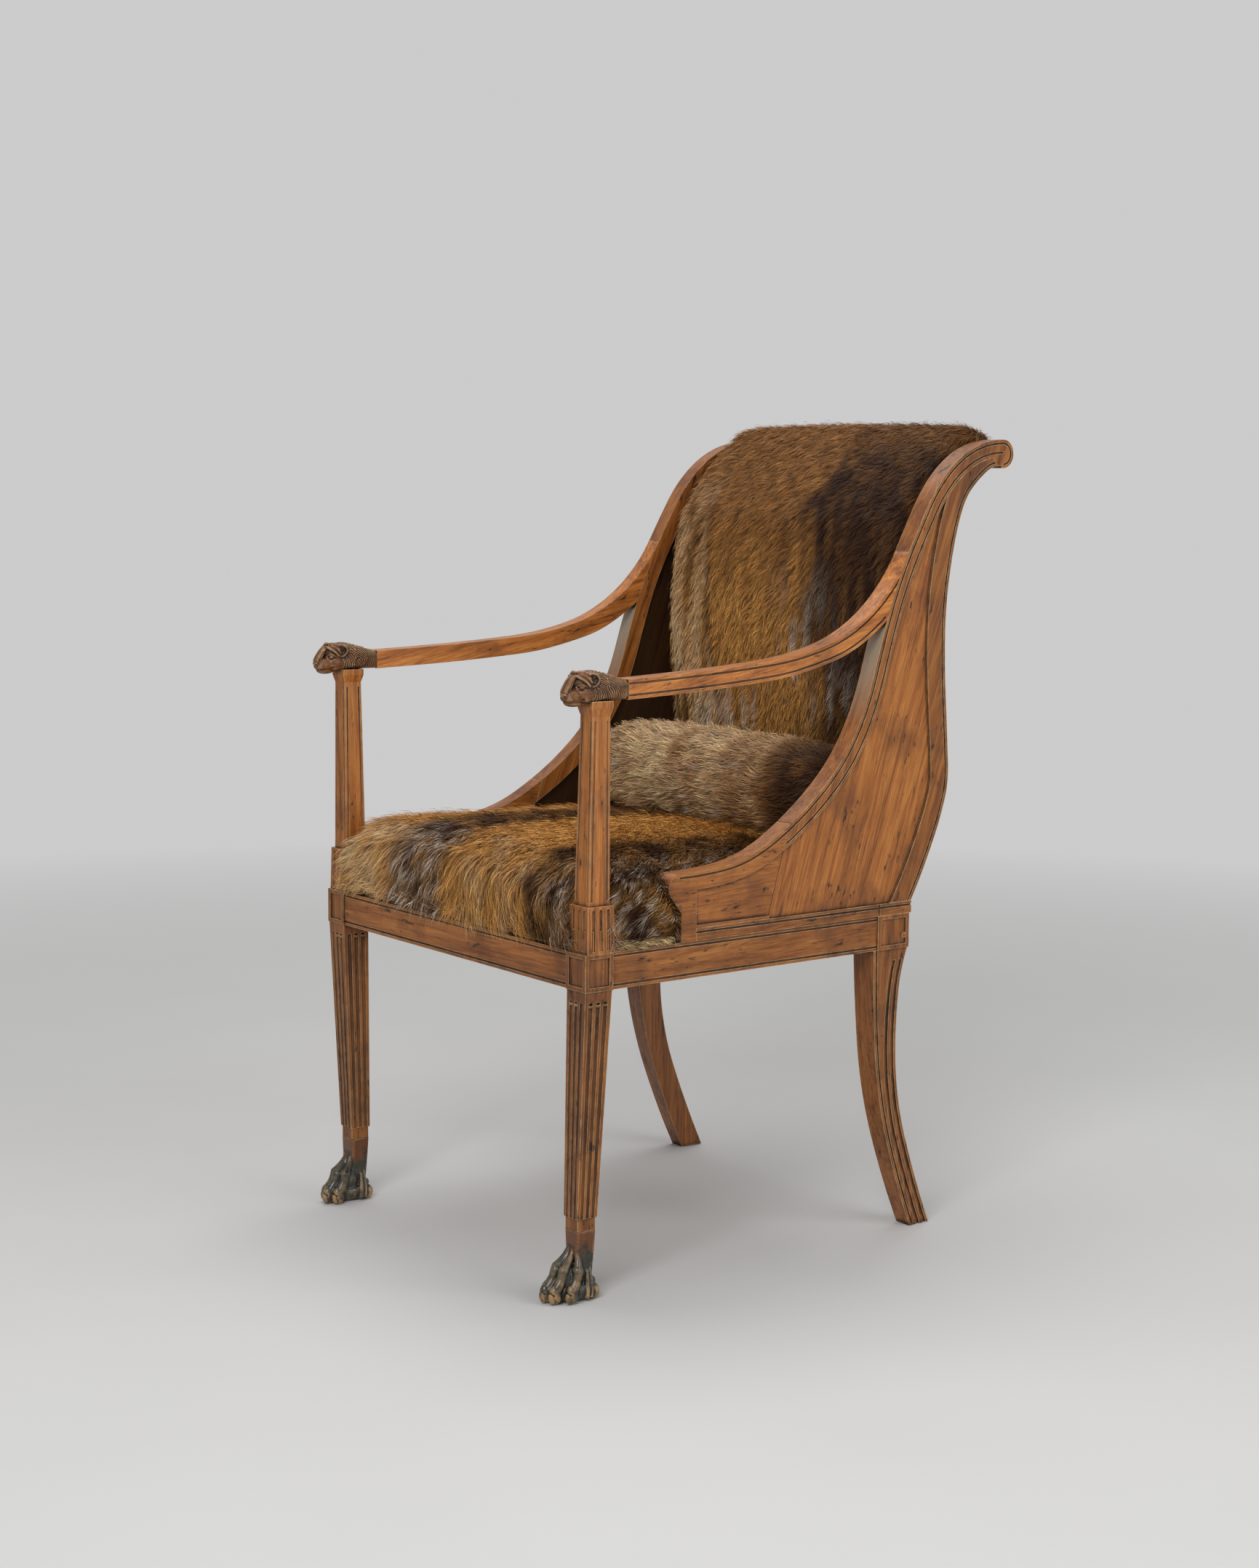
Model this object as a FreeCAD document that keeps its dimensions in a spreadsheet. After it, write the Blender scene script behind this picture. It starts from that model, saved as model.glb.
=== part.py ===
"""Fauteuil with scrolled side frames, lion-head arms, fluted legs and paw feet.

Frame: +Z up, the sitter faces -Y, the sitter's left is +X.  The origin lies on the floor, under the middle
of the whole chair.  While the pieces are made, y = 0 is the face of the front blocks.
Lengths are millimetres.
"""
import FreeCAD, Part
import math
import os
from FreeCAD import Placement, Rotation, Vector

# Driving sizes: alias, value
SIZES = [
    # Seat frame
    ("front_width", 540), ("seat_depth", 471), ("side_angle", 2.75), ("rail_top", 378),
    ("rail_height", 40), ("rail_thick", 24), ("rail_setback", 2), ("block_side", 36), ("rear_block", 49),
    ("rear_block_thick", 36), ("tenon_thick", 9), ("tenon_height", 26), ("tenon_long", 9.5),
    ("corner_leg", 62), ("corner_height", 26), ("panel_border", 5), ("panel_sink", 1.6),
    ("bead_width", 3.4), ("groove_width", 2.2), ("groove_sink", 1.4),
    # Front legs and feet
    ("leg_top_width", 34), ("leg_foot_width", 25.4), ("leg_inset", 14), ("flute_end", 90),
    ("splice_height", 77), ("ankle_width", 22.6), ("flute_top_gap", 14), ("flute_top_radius", 2.7),
    ("flute_foot_radius", 2.0), ("flute_share", 0.56), ("dowel_width", 9), ("dowel_long", 44),
    ("paw_width", 42), ("paw_reach", 38), ("palm_width", 36), ("palm_long", 61), ("palm_forward", 15.5),
    ("palm_rise", 11.4), ("toe_long", 30), ("toe_rise", 9.8), ("outer_toe_back", 3.5), ("heel_long", 16),
    ("heel_width", 30), ("paw_heel", 17), ("paw_height", 32), ("toe_width", 13), ("toe_height", 21),
    # Rear legs
    ("sabre_top", 53), ("sabre_waist", 33), ("sabre_hollow", 12), ("sabre_waist_rise", 226),
    ("sabre_foot", 31), ("sabre_reach", 28), ("sabre_taper", 12), ("rear_flute_width", 5),
    ("rear_flute_sink", 1.8), ("rear_flute_edge", 3.4), ("rear_flute_pitch", 9.6), ("peg_width", 7),
    ("peg_inset", 8), ("peg_rise", 14.4),
    # Arm posts
    ("plinth_width", 35), ("plinth_neck", 33), ("plinth_height", 50), ("plinth_setback", 3),
    ("plinth_inset", 0.5),
    ("post_foot_width", 26.5), ("post_neck_width", 22), ("post_lean", 4), ("cap_width", 27),
    ("cap_height", 7), ("cap_flare", 9), ("line_stop", 5), ("sole_height", 3), ("cable_height", 23),
    ("cable_radius", 1.4), ("cable_sink", 1.5), ("post_tenon_width", 9), ("post_tenon_long", 20),
    # Side frames
    ("side_thick", 23), ("stile_width", 19.5), ("rear_stile_width", 28), ("panel_thick", 10),
    ("panel_recess", 3), ("panel_housing", 5), ("shoe_height", 14), ("nose_run", 126.8),
    ("nose_rise", 74.7), ("volute_radius", 15), ("volute_drop", 27.5), ("nose_step", 3),
    ("nose_stile", 21), ("nose_swell_run", 245),
    ("nose_swell_rise", 94), ("seam_run", 285.6), ("seam_rise", 117.3), ("seam_slope", 30.6),
    ("seam_gap", 0.8), ("heel_step", 2), ("heel_root", 20), ("shoe_over", 3), ("scroll_notch", 3.2),
    ("knee_back", 86.6), ("knee_rise", 218.3), ("elbow_back", 44), ("elbow_rise", 51.5),
    ("shoulder_back", 11), ("shoulder_rise", 129), ("neck_reach", 54), ("neck_drop", 31.5),
    ("scroll_reach", 138), ("scroll_rise", 126.5), ("scroll_radius", 16.5), ("hip_reach", 38),
    ("hip_rise", 85), ("waist_reach", 58), ("waist_rise", 168), ("spine_reach", 48.5),
    ("spine_rise", 322), ("nape_reach", 63), ("nape_drop", 109), ("under_reach", 90.6),
    ("under_drop", 53),
    # Arms and lion heads
    ("arm_rise", 286), ("arm_depth", 21.2), ("arm_front", 55), ("arm_bow_run", 252),
    ("arm_bow_rise", 11.4), ("arm_dip_back", 122), ("arm_dip_rise", 30.5), ("arm_sweep_back", 67.5),
    ("arm_sweep_rise", 62), ("arm_dowel", 8), ("head_reach", 26), ("head_width", 34),
    ("muzzle_width", 25), ("head_crown", 17), ("skull_long", 50), ("mane_long", 58), ("mane_width", 35),
    ("muzzle_long", 30), ("muzzle_tall", 25), ("muzzle_drop", 3.5), ("mouth_drop", 7), ("brow_size", 7),
    ("ear_size", 9), ("lock_long", 34), ("lock_thick", 6),
    # Upholstery
    ("crest_width", 30), ("crest_depth", 15), ("lower_rail_height", 42), ("lower_rail_thick", 22),
    ("web_width", 50), ("web_thick", 1.6), ("cloth_thick", 1.2), ("seat_crown", 76), ("seat_edge", 58),
    ("seat_gap", 1.2), ("seat_round", 9), ("cloth_inset", 3),
    ("back_thick", 32), ("back_crown", 12), ("back_roll", 16), ("cover_inset", 3),
    ("back_hollow", 7), ("cushion_wide", 410), ("cushion_deep", 104), ("cushion_tall", 106),
    ("cushion_lift", 1.5), ("cushion_setback", 15), ("cushion_corner", 0.8), ("cloth_gap", 0.5),
    ("pad_foot_reach", 24), ("pad_foot_rise", 74), ("pad_foot_front", 10), ("edge_draw", 7),
    ("roll_peak", 8), ("roll_round", 26), ("roll_flat", 2), ("roll_under", 6), ("roll_tuck", 14),
]

doc = FreeCAD.newDocument("fauteuil")
sheet = doc.addObject("Spreadsheet::Sheet", "sizes")
for row, (alias, value) in enumerate(SIZES, 1):
    sheet.set(f"A{row}", alias)
    sheet.set(f"B{row}", str(value))
    sheet.setAlias(f"B{row}", alias)
doc.recompute()


class Size:
    """A number together with the sheet expression that gives it."""

    def __init__(self, value, text):
        self.value = value
        self.text = text

    def __float__(self):
        return self.value

    def __add__(self, other):
        other = as_size(other)
        return Size(self.value + other.value, f"({self.text} + {other.text})")

    def __sub__(self, other):
        other = as_size(other)
        return Size(self.value - other.value, f"({self.text} - {other.text})")

    def __mul__(self, other):
        other = as_size(other)
        return Size(self.value * other.value, f"({self.text} * {other.text})")

    def __truediv__(self, other):
        other = as_size(other)
        return Size(self.value / other.value, f"({self.text} / {other.text})")

    def __neg__(self):
        return Size(-self.value, f"(-1 * {self.text})")


def as_size(number):
    """Take a plain number as a Size, or return a Size as it is."""
    if isinstance(number, Size):
        return number
    return Size(float(number), repr(float(number)))


class Sheet:
    """The sheet's cells by alias."""

    def __getattr__(self, alias):
        return Size(float(sheet.get(alias)), f"<<sizes>>.{alias}")


S = Sheet()
HANDS = (("left", 1), ("right", -1))
UP = Vector(0, 0, 1)
HALF_WIDTH = S.front_width / 2
RAIL_BOTTOM = S.rail_top - S.rail_height
SHOE_TOP = S.rail_top + S.shoe_height
ARM_TOP = S.rail_top + S.arm_rise
SCROLL_TOP = ARM_TOP + S.shoulder_rise + S.scroll_rise
CAP_TOP = ARM_TOP - S.arm_depth
POST_RUN = S.plinth_setback + S.plinth_width / 2
SIDE_MIDDLE = S.side_thick / 2
# How far a cutting block runs past the face that it cuts
PAST = 1.0
nodes = []


def node(part, label):
    """Name a finished sub-part."""
    part.Label = label
    nodes.append(part)
    return part


def bind(part, **sizes):
    """Tie properties of a document object to the sheet."""
    for name, amount in sizes.items():
        part.setExpression(name, as_size(amount).text)


def vec(x, y, z):
    return Vector(float(x), float(y), float(z))


def spot(x, y, z):
    """An unturned place."""
    return Placement(vec(x, y, z), Rotation())


def side_place(hand, run=0, inward=0, rise=0):
    """A place on one side frame: run goes back along its outer face, inward goes towards the middle."""
    turn = Rotation(UP, hand * S.side_angle.value)
    corner = Placement(vec(hand * HALF_WIDTH.value, 0, 0), turn)
    return corner.multiply(spot(-hand * float(inward), run, rise))


def box(name, place, length, width, height):
    part = doc.addObject("Part::Box", name)
    bind(part, Length=length, Width=width, Height=height)
    part.Placement = place
    return part


def side_box(name, hand, run, inward, rise):
    """A box on one side frame, from pairs of run, inward and rise."""
    low = inward[1] if hand > 0 else inward[0]
    place = side_place(hand, run[0], low, rise[0])
    sizes = [as_size(far) - near for near, far in (inward, run, rise)]
    return box(name, place, *sizes)


def cylinder(name, place, radius, height):
    part = doc.addObject("Part::Cylinder", name)
    bind(part, Radius=radius, Height=height)
    part.Placement = place
    return part


def taper(name, place, top, bottom, height, shift=(0, 0)):
    """A square bar that hangs down from a place, top wide at its top, with its foot moved by shift."""
    part = doc.addObject("Part::Wedge", name)
    bind(part, Xmin=-(top / 2), Xmax=top / 2, Zmin=-(top / 2), Zmax=top / 2, Ymin=0, Ymax=height)
    bind(part, X2min=as_size(shift[0]) - bottom / 2, X2max=as_size(shift[0]) + bottom / 2)
    bind(part, Z2min=as_size(shift[1]) - bottom / 2, Z2max=as_size(shift[1]) + bottom / 2)
    part.Placement = place.multiply(Placement(Vector(), Rotation(Vector(1, 0, 0), -90)))
    return part


def ellipsoid(name, place, across, along, tall):
    """An egg with the given half sizes."""
    part = doc.addObject("Part::Ellipsoid", name)
    bind(part, Radius1=tall, Radius2=across, Radius3=along)
    part.Placement = place
    return part


def fuse(name, parts):
    joined = doc.addObject("Part::MultiFuse", name)
    joined.Shapes = parts
    return joined


def group(name, parts):
    bundle = doc.addObject("Part::Compound", name)
    bundle.Links = parts
    return bundle


def cut(name, base, tools):
    """Take several tools away from a base."""
    trimmed = doc.addObject("Part::Cut", name)
    trimmed.Base = base
    trimmed.Tool = tools[0] if len(tools) == 1 else fuse(name + "_tools", tools)
    return trimmed


def common(name, one, other):
    shared = doc.addObject("Part::Common", name)
    shared.Base = one
    shared.Tool = other
    return shared


# Outlines in the plane of a side frame: x is the run back, y is the rise


def turned(direction, angle):
    """A direction turned to its left by an angle in radians."""
    c, s = math.cos(angle), math.sin(angle)
    return Vector(direction.x * c - direction.y * s, direction.x * s + direction.y * c, 0)


def left_of(direction):
    return Vector(-direction.y, direction.x, 0)


def arc_stretch(start, direction, end):
    """Stations (point, left normal) at the start, middle and end of an arc from start along direction."""
    chord = end - start
    half = math.atan2(direction.x * chord.y - direction.y * chord.x, direction.dot(chord))
    middle = start + turned(direction, half / 2) * (chord.Length / 2 / math.cos(half / 2))
    return [(start, left_of(direction)), (middle, left_of(turned(direction, half))),
            (end, left_of(turned(direction, 2 * half)))]


def path(*knots):
    """A smooth run of arcs, two between each pair of knots (run, rise, heading in degrees)."""
    points = [(vec(run, rise, 0), math.radians(heading)) for run, rise, heading in knots]
    stretches = []
    for (start, angle_a), (end, angle_b) in zip(points, points[1:]):
        leave = Vector(math.cos(angle_a), math.sin(angle_a), 0)
        arrive = Vector(math.cos(angle_b), math.sin(angle_b), 0)
        span = end - start
        along = span.dot(leave + arrive)
        bend = 2 * (1 - leave.dot(arrive))
        if bend < 1e-9:
            reach = span.dot(span) / (4 * span.dot(arrive))
        else:
            reach = (math.sqrt(along * along + bend * span.dot(span)) - along) / bend
        meet = (start + end + (leave - arrive) * reach) / 2
        back = arc_stretch(end, arrive * -1, meet)
        stretches.append(arc_stretch(start, leave, meet))
        stretches.append([(point, normal * -1) for point, normal in reversed(back)])
    return stretches


def edge(a, b, c):
    """A sketch edge from a through b to c: a line, or an arc that runs anticlockwise."""
    cross = (b - a).cross(c - a).z
    if abs(cross) < 1e-7 * (c - a).Length ** 2:
        return Part.LineSegment(a, c)
    if cross < 0:
        a, c = c, a
    circle = Part.Circle(a, b, c)
    centre = circle.Center
    first = math.atan2(a.y - centre.y, a.x - centre.x)
    last = math.atan2(c.y - centre.y, c.x - centre.x)
    if last < first:
        last += 2 * math.pi
    return Part.ArcOfCircle(Part.Circle(centre, UP, circle.Radius), first, last)


def shifted(stretches, distance):
    """The points of a path moved to its left, as triples."""
    return [[point + normal * float(distance) for point, normal in stretch] for stretch in stretches]


def polyline(points):
    """Line triples along a list of (run, rise)."""
    corners = [vec(run, rise, 0) for run, rise in points]
    return [[a, (a + b) / 2, b] for a, b in zip(corners, corners[1:])]


def closed(*runs):
    """Sketch edges of an outline: runs of triples in order, with lines across the gaps between them."""
    edges = []
    for run, following in zip(runs, runs[1:] + runs[:1]):
        edges += [edge(*triple) for triple in run]
        gap = following[0][0] - run[-1][2]
        if gap.Length > 1e-6:
            edges.append(Part.LineSegment(run[-1][2], following[0][0]))
    return edges


def backwards(run):
    return [triple[::-1] for triple in reversed(run)]


def band(stretches, near, far):
    """The outline between two shifts of one path."""
    return closed(shifted(stretches, near), backwards(shifted(stretches, far)))


def polygon(points):
    return closed(polyline(points))


def origin_plane(body, role):
    return next(plane for plane in body.Origin.OriginFeatures if plane.Role == role)


def prism(name, edges, hand, near, far, place=None):
    """An outline of a side frame, padded from one depth inside the outer face to another."""
    body = doc.addObject("PartDesign::Body", name)
    sketch = body.newObject("Sketcher::SketchObject", name + "_outline")
    sketch.AttachmentSupport = [(origin_plane(body, "YZ_Plane"), "")]
    sketch.MapMode = "FlatFace"
    sketch.addGeometry(edges, False)
    pad = body.newObject("PartDesign::Pad", name + "_pad")
    pad.Profile = sketch
    pad.Reversed = hand > 0
    bind(pad, Length=as_size(far) - near)
    body.Placement = (place or side_place(hand)).multiply(spot(-hand * float(near), 0, 0))
    return body


def plan_prism(name, points, low, high):
    """A plan outline in x and y, padded from one height to another."""
    body = doc.addObject("PartDesign::Body", name)
    sketch = body.newObject("Sketcher::SketchObject", name + "_outline")
    sketch.AttachmentSupport = [(origin_plane(body, "XY_Plane"), "")]
    sketch.MapMode = "FlatFace"
    sketch.addGeometry(polygon(points), False)
    pad = body.newObject("PartDesign::Pad", name + "_pad")
    pad.Profile = sketch
    bind(pad, Length=as_size(high) - low)
    body.Placement = spot(0, 0, low)
    return body


def section(name, edges, place):
    """A loose sketch that a loft runs through."""
    sketch = doc.addObject("Sketcher::SketchObject", name)
    sketch.addGeometry(edges, False)
    sketch.Placement = place
    return sketch


def loft(name, sections, ruled=True):
    skin = doc.addObject("Part::Loft", name)
    skin.Sections = sections
    skin.Solid = True
    skin.Ruled = ruled
    return skin


def between_sides(name, edges, inset=0):
    """A bar with one outline on both side frames, which runs from inner face to inner face."""
    ends = []
    upright = Rotation(Vector(1, 1, 1), 120)
    for label, hand in HANDS:
        place = side_place(hand, inward=(S.side_thick + inset).value)
        ends.append(section(f"{name}_{label}_end", edges, place.multiply(Placement(Vector(), upright))))
    return loft(name, ends)


def inner_x(run, inward):
    """Half the clear width between the side frames at a run back, at a depth inside their outer faces."""
    place = side_place(1, run, inward)
    return place.Base.x


# Curves that the side frame's pieces share, each through knots of run, rise and heading in degrees

NOSE_START = (S.nose_run, S.rail_top + S.nose_rise, 0)
SWELL = (S.nose_swell_run, S.rail_top + S.nose_swell_rise, 25)
SEAM = (S.seam_run, S.rail_top + S.seam_rise, 33)
KNEE = (S.seat_depth - S.knee_back, S.rail_top + S.knee_rise, 62)
ELBOW = (S.seat_depth - S.elbow_back, ARM_TOP + S.elbow_rise, 72)
SHOULDER = (S.seat_depth - S.shoulder_back, ARM_TOP + S.shoulder_rise, 62)
NECK = (S.seat_depth + S.neck_reach, SCROLL_TOP - S.neck_drop, 41)
SCROLL = (S.seat_depth + S.scroll_reach, SCROLL_TOP, 0)
SCROLL_EYE = (SCROLL[0], SCROLL_TOP - S.scroll_radius)
NOSE_EDGE = path(NOSE_START, SWELL, SEAM)
STILE_EDGE = path(SWELL, SEAM, KNEE, ELBOW, SHOULDER, NECK, SCROLL)
ARM_JOINT = path(ELBOW, SHOULDER)
HEEL = (S.seat_depth + S.heel_step, SHOE_TOP, 59)
HEEL_ROOT = (HEEL[0] - S.heel_root / math.tan(math.radians(HEEL[2])), SHOE_TOP - S.heel_root, HEEL[2])
HIP = (S.seat_depth + S.hip_reach, S.rail_top + S.hip_rise, 66)
WAIST = (S.seat_depth + S.waist_reach, S.rail_top + S.waist_rise, 94)
SPINE = (S.seat_depth + S.spine_reach, S.rail_top + S.spine_rise, 90)
NAPE = (S.seat_depth + S.nape_reach, SCROLL_TOP - S.nape_drop, 76)
UNDER = (S.seat_depth + S.under_reach, SCROLL_TOP - S.under_drop, 43)
UNDER_SCROLL = (SCROLL[0] - S.scroll_radius / 3, SCROLL_TOP - S.scroll_radius * 1.85, 0)
BACK_EDGE = path(HEEL_ROOT, HEEL, HIP, WAIST, SPINE, NAPE, UNDER, UNDER_SCROLL)
NOSE_FRONT = S.nose_run + S.nose_step
VOLUTE_EYE = (S.nose_run, S.rail_top + S.nose_rise - S.volute_radius)


def seam_at(rise):
    """Run of the seam between nose board and stile at a height."""
    drop = SEAM[1].value - float(rise)
    return S.seam_run.value - drop * S.seam_slope.value / (SEAM[1] - SHOE_TOP).value


def before_seam(name, hand):
    """Everything in front of the seam and its shrinkage gap, as a cutting block."""
    high = (SEAM[1] + S.stile_width * 3).value
    low = S.rail_top.value - PAST
    gap = S.seam_gap.value
    corners = [(0, low), (seam_at(low) + gap, low), (seam_at(high) + gap, high), (0, high)]
    return prism(name, polygon(corners), hand, -PAST, S.side_thick + PAST)


def edge_groove(name, stretches, offset, hand):
    """A fine line cut along a path in the outer face, which leaves a bead beside it."""
    return prism(name, band(stretches, offset, offset + S.groove_width), hand, 0, S.groove_sink)


# Seat frame


def front_rail():
    half = HALF_WIDTH - S.block_side
    bar = box("front_bar", spot(-half.value, S.rail_setback, RAIL_BOTTOM),
              half * 2, S.rail_thick, S.rail_height)
    middle = S.rail_setback + S.rail_thick / 2
    reach = half + S.tenon_long
    tenon = box("front_tenon", spot(-reach.value, (middle - S.tenon_thick / 2), tenon_low()),
                reach * 2, S.tenon_thick, S.tenon_height)
    grooves = []
    for tag, rise in bead_heights():
        place = spot(-half.value, S.rail_setback, rise)
        grooves.append(box(f"front_bead_{tag}", place, half * 2, S.groove_sink, S.groove_width))
    node(cut("front_rail_cut", fuse("front_rail_whole", [bar, tenon]), grooves), "seat_rail_front")


def tenon_low():
    return S.rail_top - S.rail_height / 2 - S.tenon_height / 2


def bead_heights():
    """Heights of the lines that set off the beads along a rail's lower and upper edge."""
    return (("low", RAIL_BOTTOM + S.bead_width), ("high", S.rail_top - S.bead_width - S.groove_width))


def rail_slot(name, hand, run):
    """The tenon of a side rail, or the mortise that takes it."""
    middle = S.rail_setback + S.rail_thick / 2
    inward = (middle - S.tenon_thick / 2, middle + S.tenon_thick / 2)
    return side_box(name, hand, run, inward, (tenon_low(), tenon_low() + S.tenon_height))


REAR_BLOCK_FRONT = S.seat_depth - S.rear_block


def block_back(inward):
    """Run along a side frame at which the front block ends, at a depth inside the outer face."""
    angle = math.radians(S.side_angle.value)
    return (S.block_side.value + float(inward) * math.sin(angle)) / math.cos(angle)


def side_rail(label, hand):
    near, far = S.rail_setback, S.rail_setback + S.rail_thick
    corners = [(-hand * near.value, block_back(near)), (-hand * far.value, block_back(far)),
               (-hand * far.value, REAR_BLOCK_FRONT.value), (-hand * near.value, REAR_BLOCK_FRONT.value)]
    bar = plan_prism(f"side_bar_{label}", corners, RAIL_BOTTOM, S.rail_top)
    bar.Placement = side_place(hand, rise=RAIL_BOTTOM)
    tenon = rail_slot(f"side_tenon_{label}", hand,
                      (S.block_side - S.tenon_long, REAR_BLOCK_FRONT + S.tenon_long))
    grooves = []
    for tag, rise in bead_heights():
        grooves.append(side_box(f"side_bead_{tag}_{label}", hand, (S.block_side - PAST, REAR_BLOCK_FRONT),
                                (near, near + S.groove_sink), (rise, rise + S.groove_width)))
    node(cut(f"side_rail_cut_{label}", fuse(f"side_rail_whole_{label}", [bar, tenon]), grooves),
         f"seat_rail_{label}")


BACK_RAIL_RUN = (S.seat_depth - S.rail_thick - S.rail_setback, S.seat_depth - S.rail_setback)


def back_rail_outline(grow, low, high):
    """The back rail's upright section, or its tenon's."""
    near, far = BACK_RAIL_RUN[0] + grow, BACK_RAIL_RUN[1] - grow
    return polygon([(near, low), (far, low), (far, high), (near, high)])


def back_rail():
    low, high = RAIL_BOTTOM, S.rail_top
    bar = between_sides("back_bar", back_rail_outline(0, low, high), S.rear_block_thick - S.side_thick)
    grow = (S.rail_thick - S.tenon_thick) / 2
    tenon = between_sides("back_tenon", back_rail_outline(grow, tenon_low(), tenon_low() + S.tenon_height),
                          S.rear_block_thick - S.side_thick - S.tenon_long)
    holes = [peg(f"rail_peg_hole_{label}", hand) for label, hand in HANDS]
    node(cut("back_rail_cut", fuse("back_rail_whole", [bar, tenon]), holes), "seat_rail_back")
    return tenon


def corner_blocks():
    """Glued blocks across the four inner corners of the seat frame."""
    blocks = []
    low = S.rail_top - S.rail_height / 2 - S.corner_height / 2
    clear = S.rail_setback + S.rail_thick
    for label, hand in HANDS:
        across = hand * S.corner_leg.value
        front_x = hand * (HALF_WIDTH - S.block_side).value
        side_x = hand * inner_x(block_back(clear) + S.corner_leg.value, clear)
        side_y = side_place(1, block_back(clear) + S.corner_leg.value, clear).Base.y
        inner = hand * inner_x(block_back(clear), clear)
        front = [(front_x, clear.value), (front_x, S.block_side.value), (inner, S.block_side.value),
                 (side_x, side_y), (front_x - across, clear.value)]
        blocks.append(plan_prism(f"front_corner_{label}", front, low, low + S.corner_height))
        rear_y = side_place(1, BACK_RAIL_RUN[0], S.rear_block_thick).Base.y
        turn_x = hand * inner_x(REAR_BLOCK_FRONT, S.rear_block_thick)
        turn_y = side_place(1, REAR_BLOCK_FRONT, S.rear_block_thick).Base.y
        edge_x = hand * inner_x(REAR_BLOCK_FRONT, clear)
        edge_y = side_place(1, REAR_BLOCK_FRONT, clear).Base.y
        up_x = hand * inner_x(REAR_BLOCK_FRONT.value - S.corner_leg.value, clear)
        up_y = side_place(1, REAR_BLOCK_FRONT.value - S.corner_leg.value, clear).Base.y
        back_x = hand * inner_x(BACK_RAIL_RUN[0], S.rear_block_thick)
        rear = [(back_x, rear_y), (turn_x, turn_y), (edge_x, edge_y), (up_x, up_y), (back_x - across, rear_y)]
        blocks.append(plan_prism(f"rear_corner_{label}", rear, low, low + S.corner_height))
    node(group("corner_block_set", blocks), "corner_blocks")


# Front legs and paw feet


def leg_middle(hand):
    return hand * (HALF_WIDTH - S.block_side / 2).value


def face_flutes(name, place, top, bottom, height, start, radii, shift=0.0, sink=0.0, rounded=True):
    """Three flutes on each face of a square bar that hangs from a place, as cones sunk along the faces."""
    flutes = []
    spread = S.flute_share.value
    for face in range(4):
        turn = Rotation(UP, 90 * face)
        for lane in (-1, 0, 1):
            head = turn.multVec(Vector(lane * top / 2 * spread, sink - top / 2, 0))
            foot = turn.multVec(Vector(lane * bottom / 2 * spread, sink - bottom / 2, -height))
            foot += Vector(shift, 0, 0)
            run = (head - foot)
            upper = foot + run * (1 - start / height)
            rod = doc.addObject("Part::Cone", f"{name}_flute")
            bind(rod, Radius1=radii[1], Radius2=radii[0])
            rod.Height = (upper - foot).Length
            rod.Placement = place.multiply(Placement(foot, Rotation(UP, run)))
            flutes.append(rod)
            if rounded:
                end = doc.addObject("Part::Sphere", f"{name}_flute_end")
                bind(end, Radius=radii[0])
                end.Placement = place.multiply(Placement(upper, Rotation(UP, run)))
                flutes.append(end)
    return fuse(f"{name}_flutes", flutes)


def sunk_panels(name, hand):
    """Shallow square sinkings in the front and the outer face of a front block."""
    wide = S.block_side - S.panel_border * 2
    tall = S.rail_height - S.panel_border * 2
    low = RAIL_BOTTOM + S.panel_border
    x = leg_middle(hand)
    front = box(f"{name}_front", spot(x - wide.value / 2, 0, low), wide, S.panel_sink, tall)
    outer_x = hand * HALF_WIDTH.value - (S.panel_sink.value if hand > 0 else 0)
    outer = box(f"{name}_outer", spot(outer_x, S.panel_border, low), S.panel_sink, wide, tall)
    return [front, outer]


def post_tenon(name, hand, clear=0):
    place = spot(plinth_middle(hand), POST_RUN, S.rail_top - S.post_tenon_long)
    return cylinder(name, place, S.post_tenon_width / 2, S.post_tenon_long + clear)


def leg_foot_middle(hand):
    return vec(leg_middle(hand) - hand * S.leg_inset.value, S.block_side / 2, 0)


def dowel(name, hand):
    place = Placement(leg_foot_middle(hand) + vec(0, 0, S.splice_height - S.dowel_long / 2), Rotation())
    return cylinder(name, place, S.dowel_width / 2, S.dowel_long)


def front_leg(label, hand):
    x = leg_middle(hand)
    block = box(f"leg_block_{label}", spot(x - S.block_side.value / 2, 0, RAIL_BOTTOM),
                S.block_side, S.block_side, S.rail_height)
    head = spot(x, S.block_side / 2, RAIL_BOTTOM)
    shaft_long = RAIL_BOTTOM - S.flute_end
    lean = as_size(-hand) * S.leg_inset
    shaft = taper(f"leg_shaft_{label}", head, S.leg_top_width, S.leg_foot_width, shaft_long, (lean, 0))
    flutes = face_flutes(f"leg_{label}", head, S.leg_top_width.value, S.leg_foot_width.value,
                         shaft_long.value, S.flute_top_gap.value,
                         (S.flute_top_radius, S.flute_foot_radius), lean.value)
    fluted = cut(f"leg_fluted_{label}", shaft, [flutes])
    ankle = taper(f"leg_ankle_{label}", Placement(leg_foot_middle(hand) + vec(0, 0, S.flute_end), Rotation()),
                  S.ankle_width, S.ankle_width, S.flute_end - S.splice_height)
    middle = S.rail_setback + S.rail_thick / 2
    inner = HALF_WIDTH - S.block_side
    mortise_x = inner if hand > 0 else -(inner + S.tenon_long)
    mortise = box(f"leg_mortise_{label}", spot(mortise_x, middle - S.tenon_thick / 2, tenon_low()),
                  S.tenon_long, S.tenon_thick, S.tenon_height)
    slot_run = (S.block_side - S.tenon_long, S.block_side + PAST * 2)
    tools = sunk_panels(f"leg_panel_{label}", hand)
    tools += [mortise, rail_slot(f"leg_side_mortise_{label}", hand, slot_run),
              post_tenon(f"post_mortise_{label}", hand, PAST), dowel(f"leg_dowel_hole_{label}", hand)]
    whole = fuse(f"leg_whole_{label}", [block, fluted, ankle])
    node(cut(f"leg_cut_{label}", whole, tools), f"front_leg_{label}")


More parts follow.
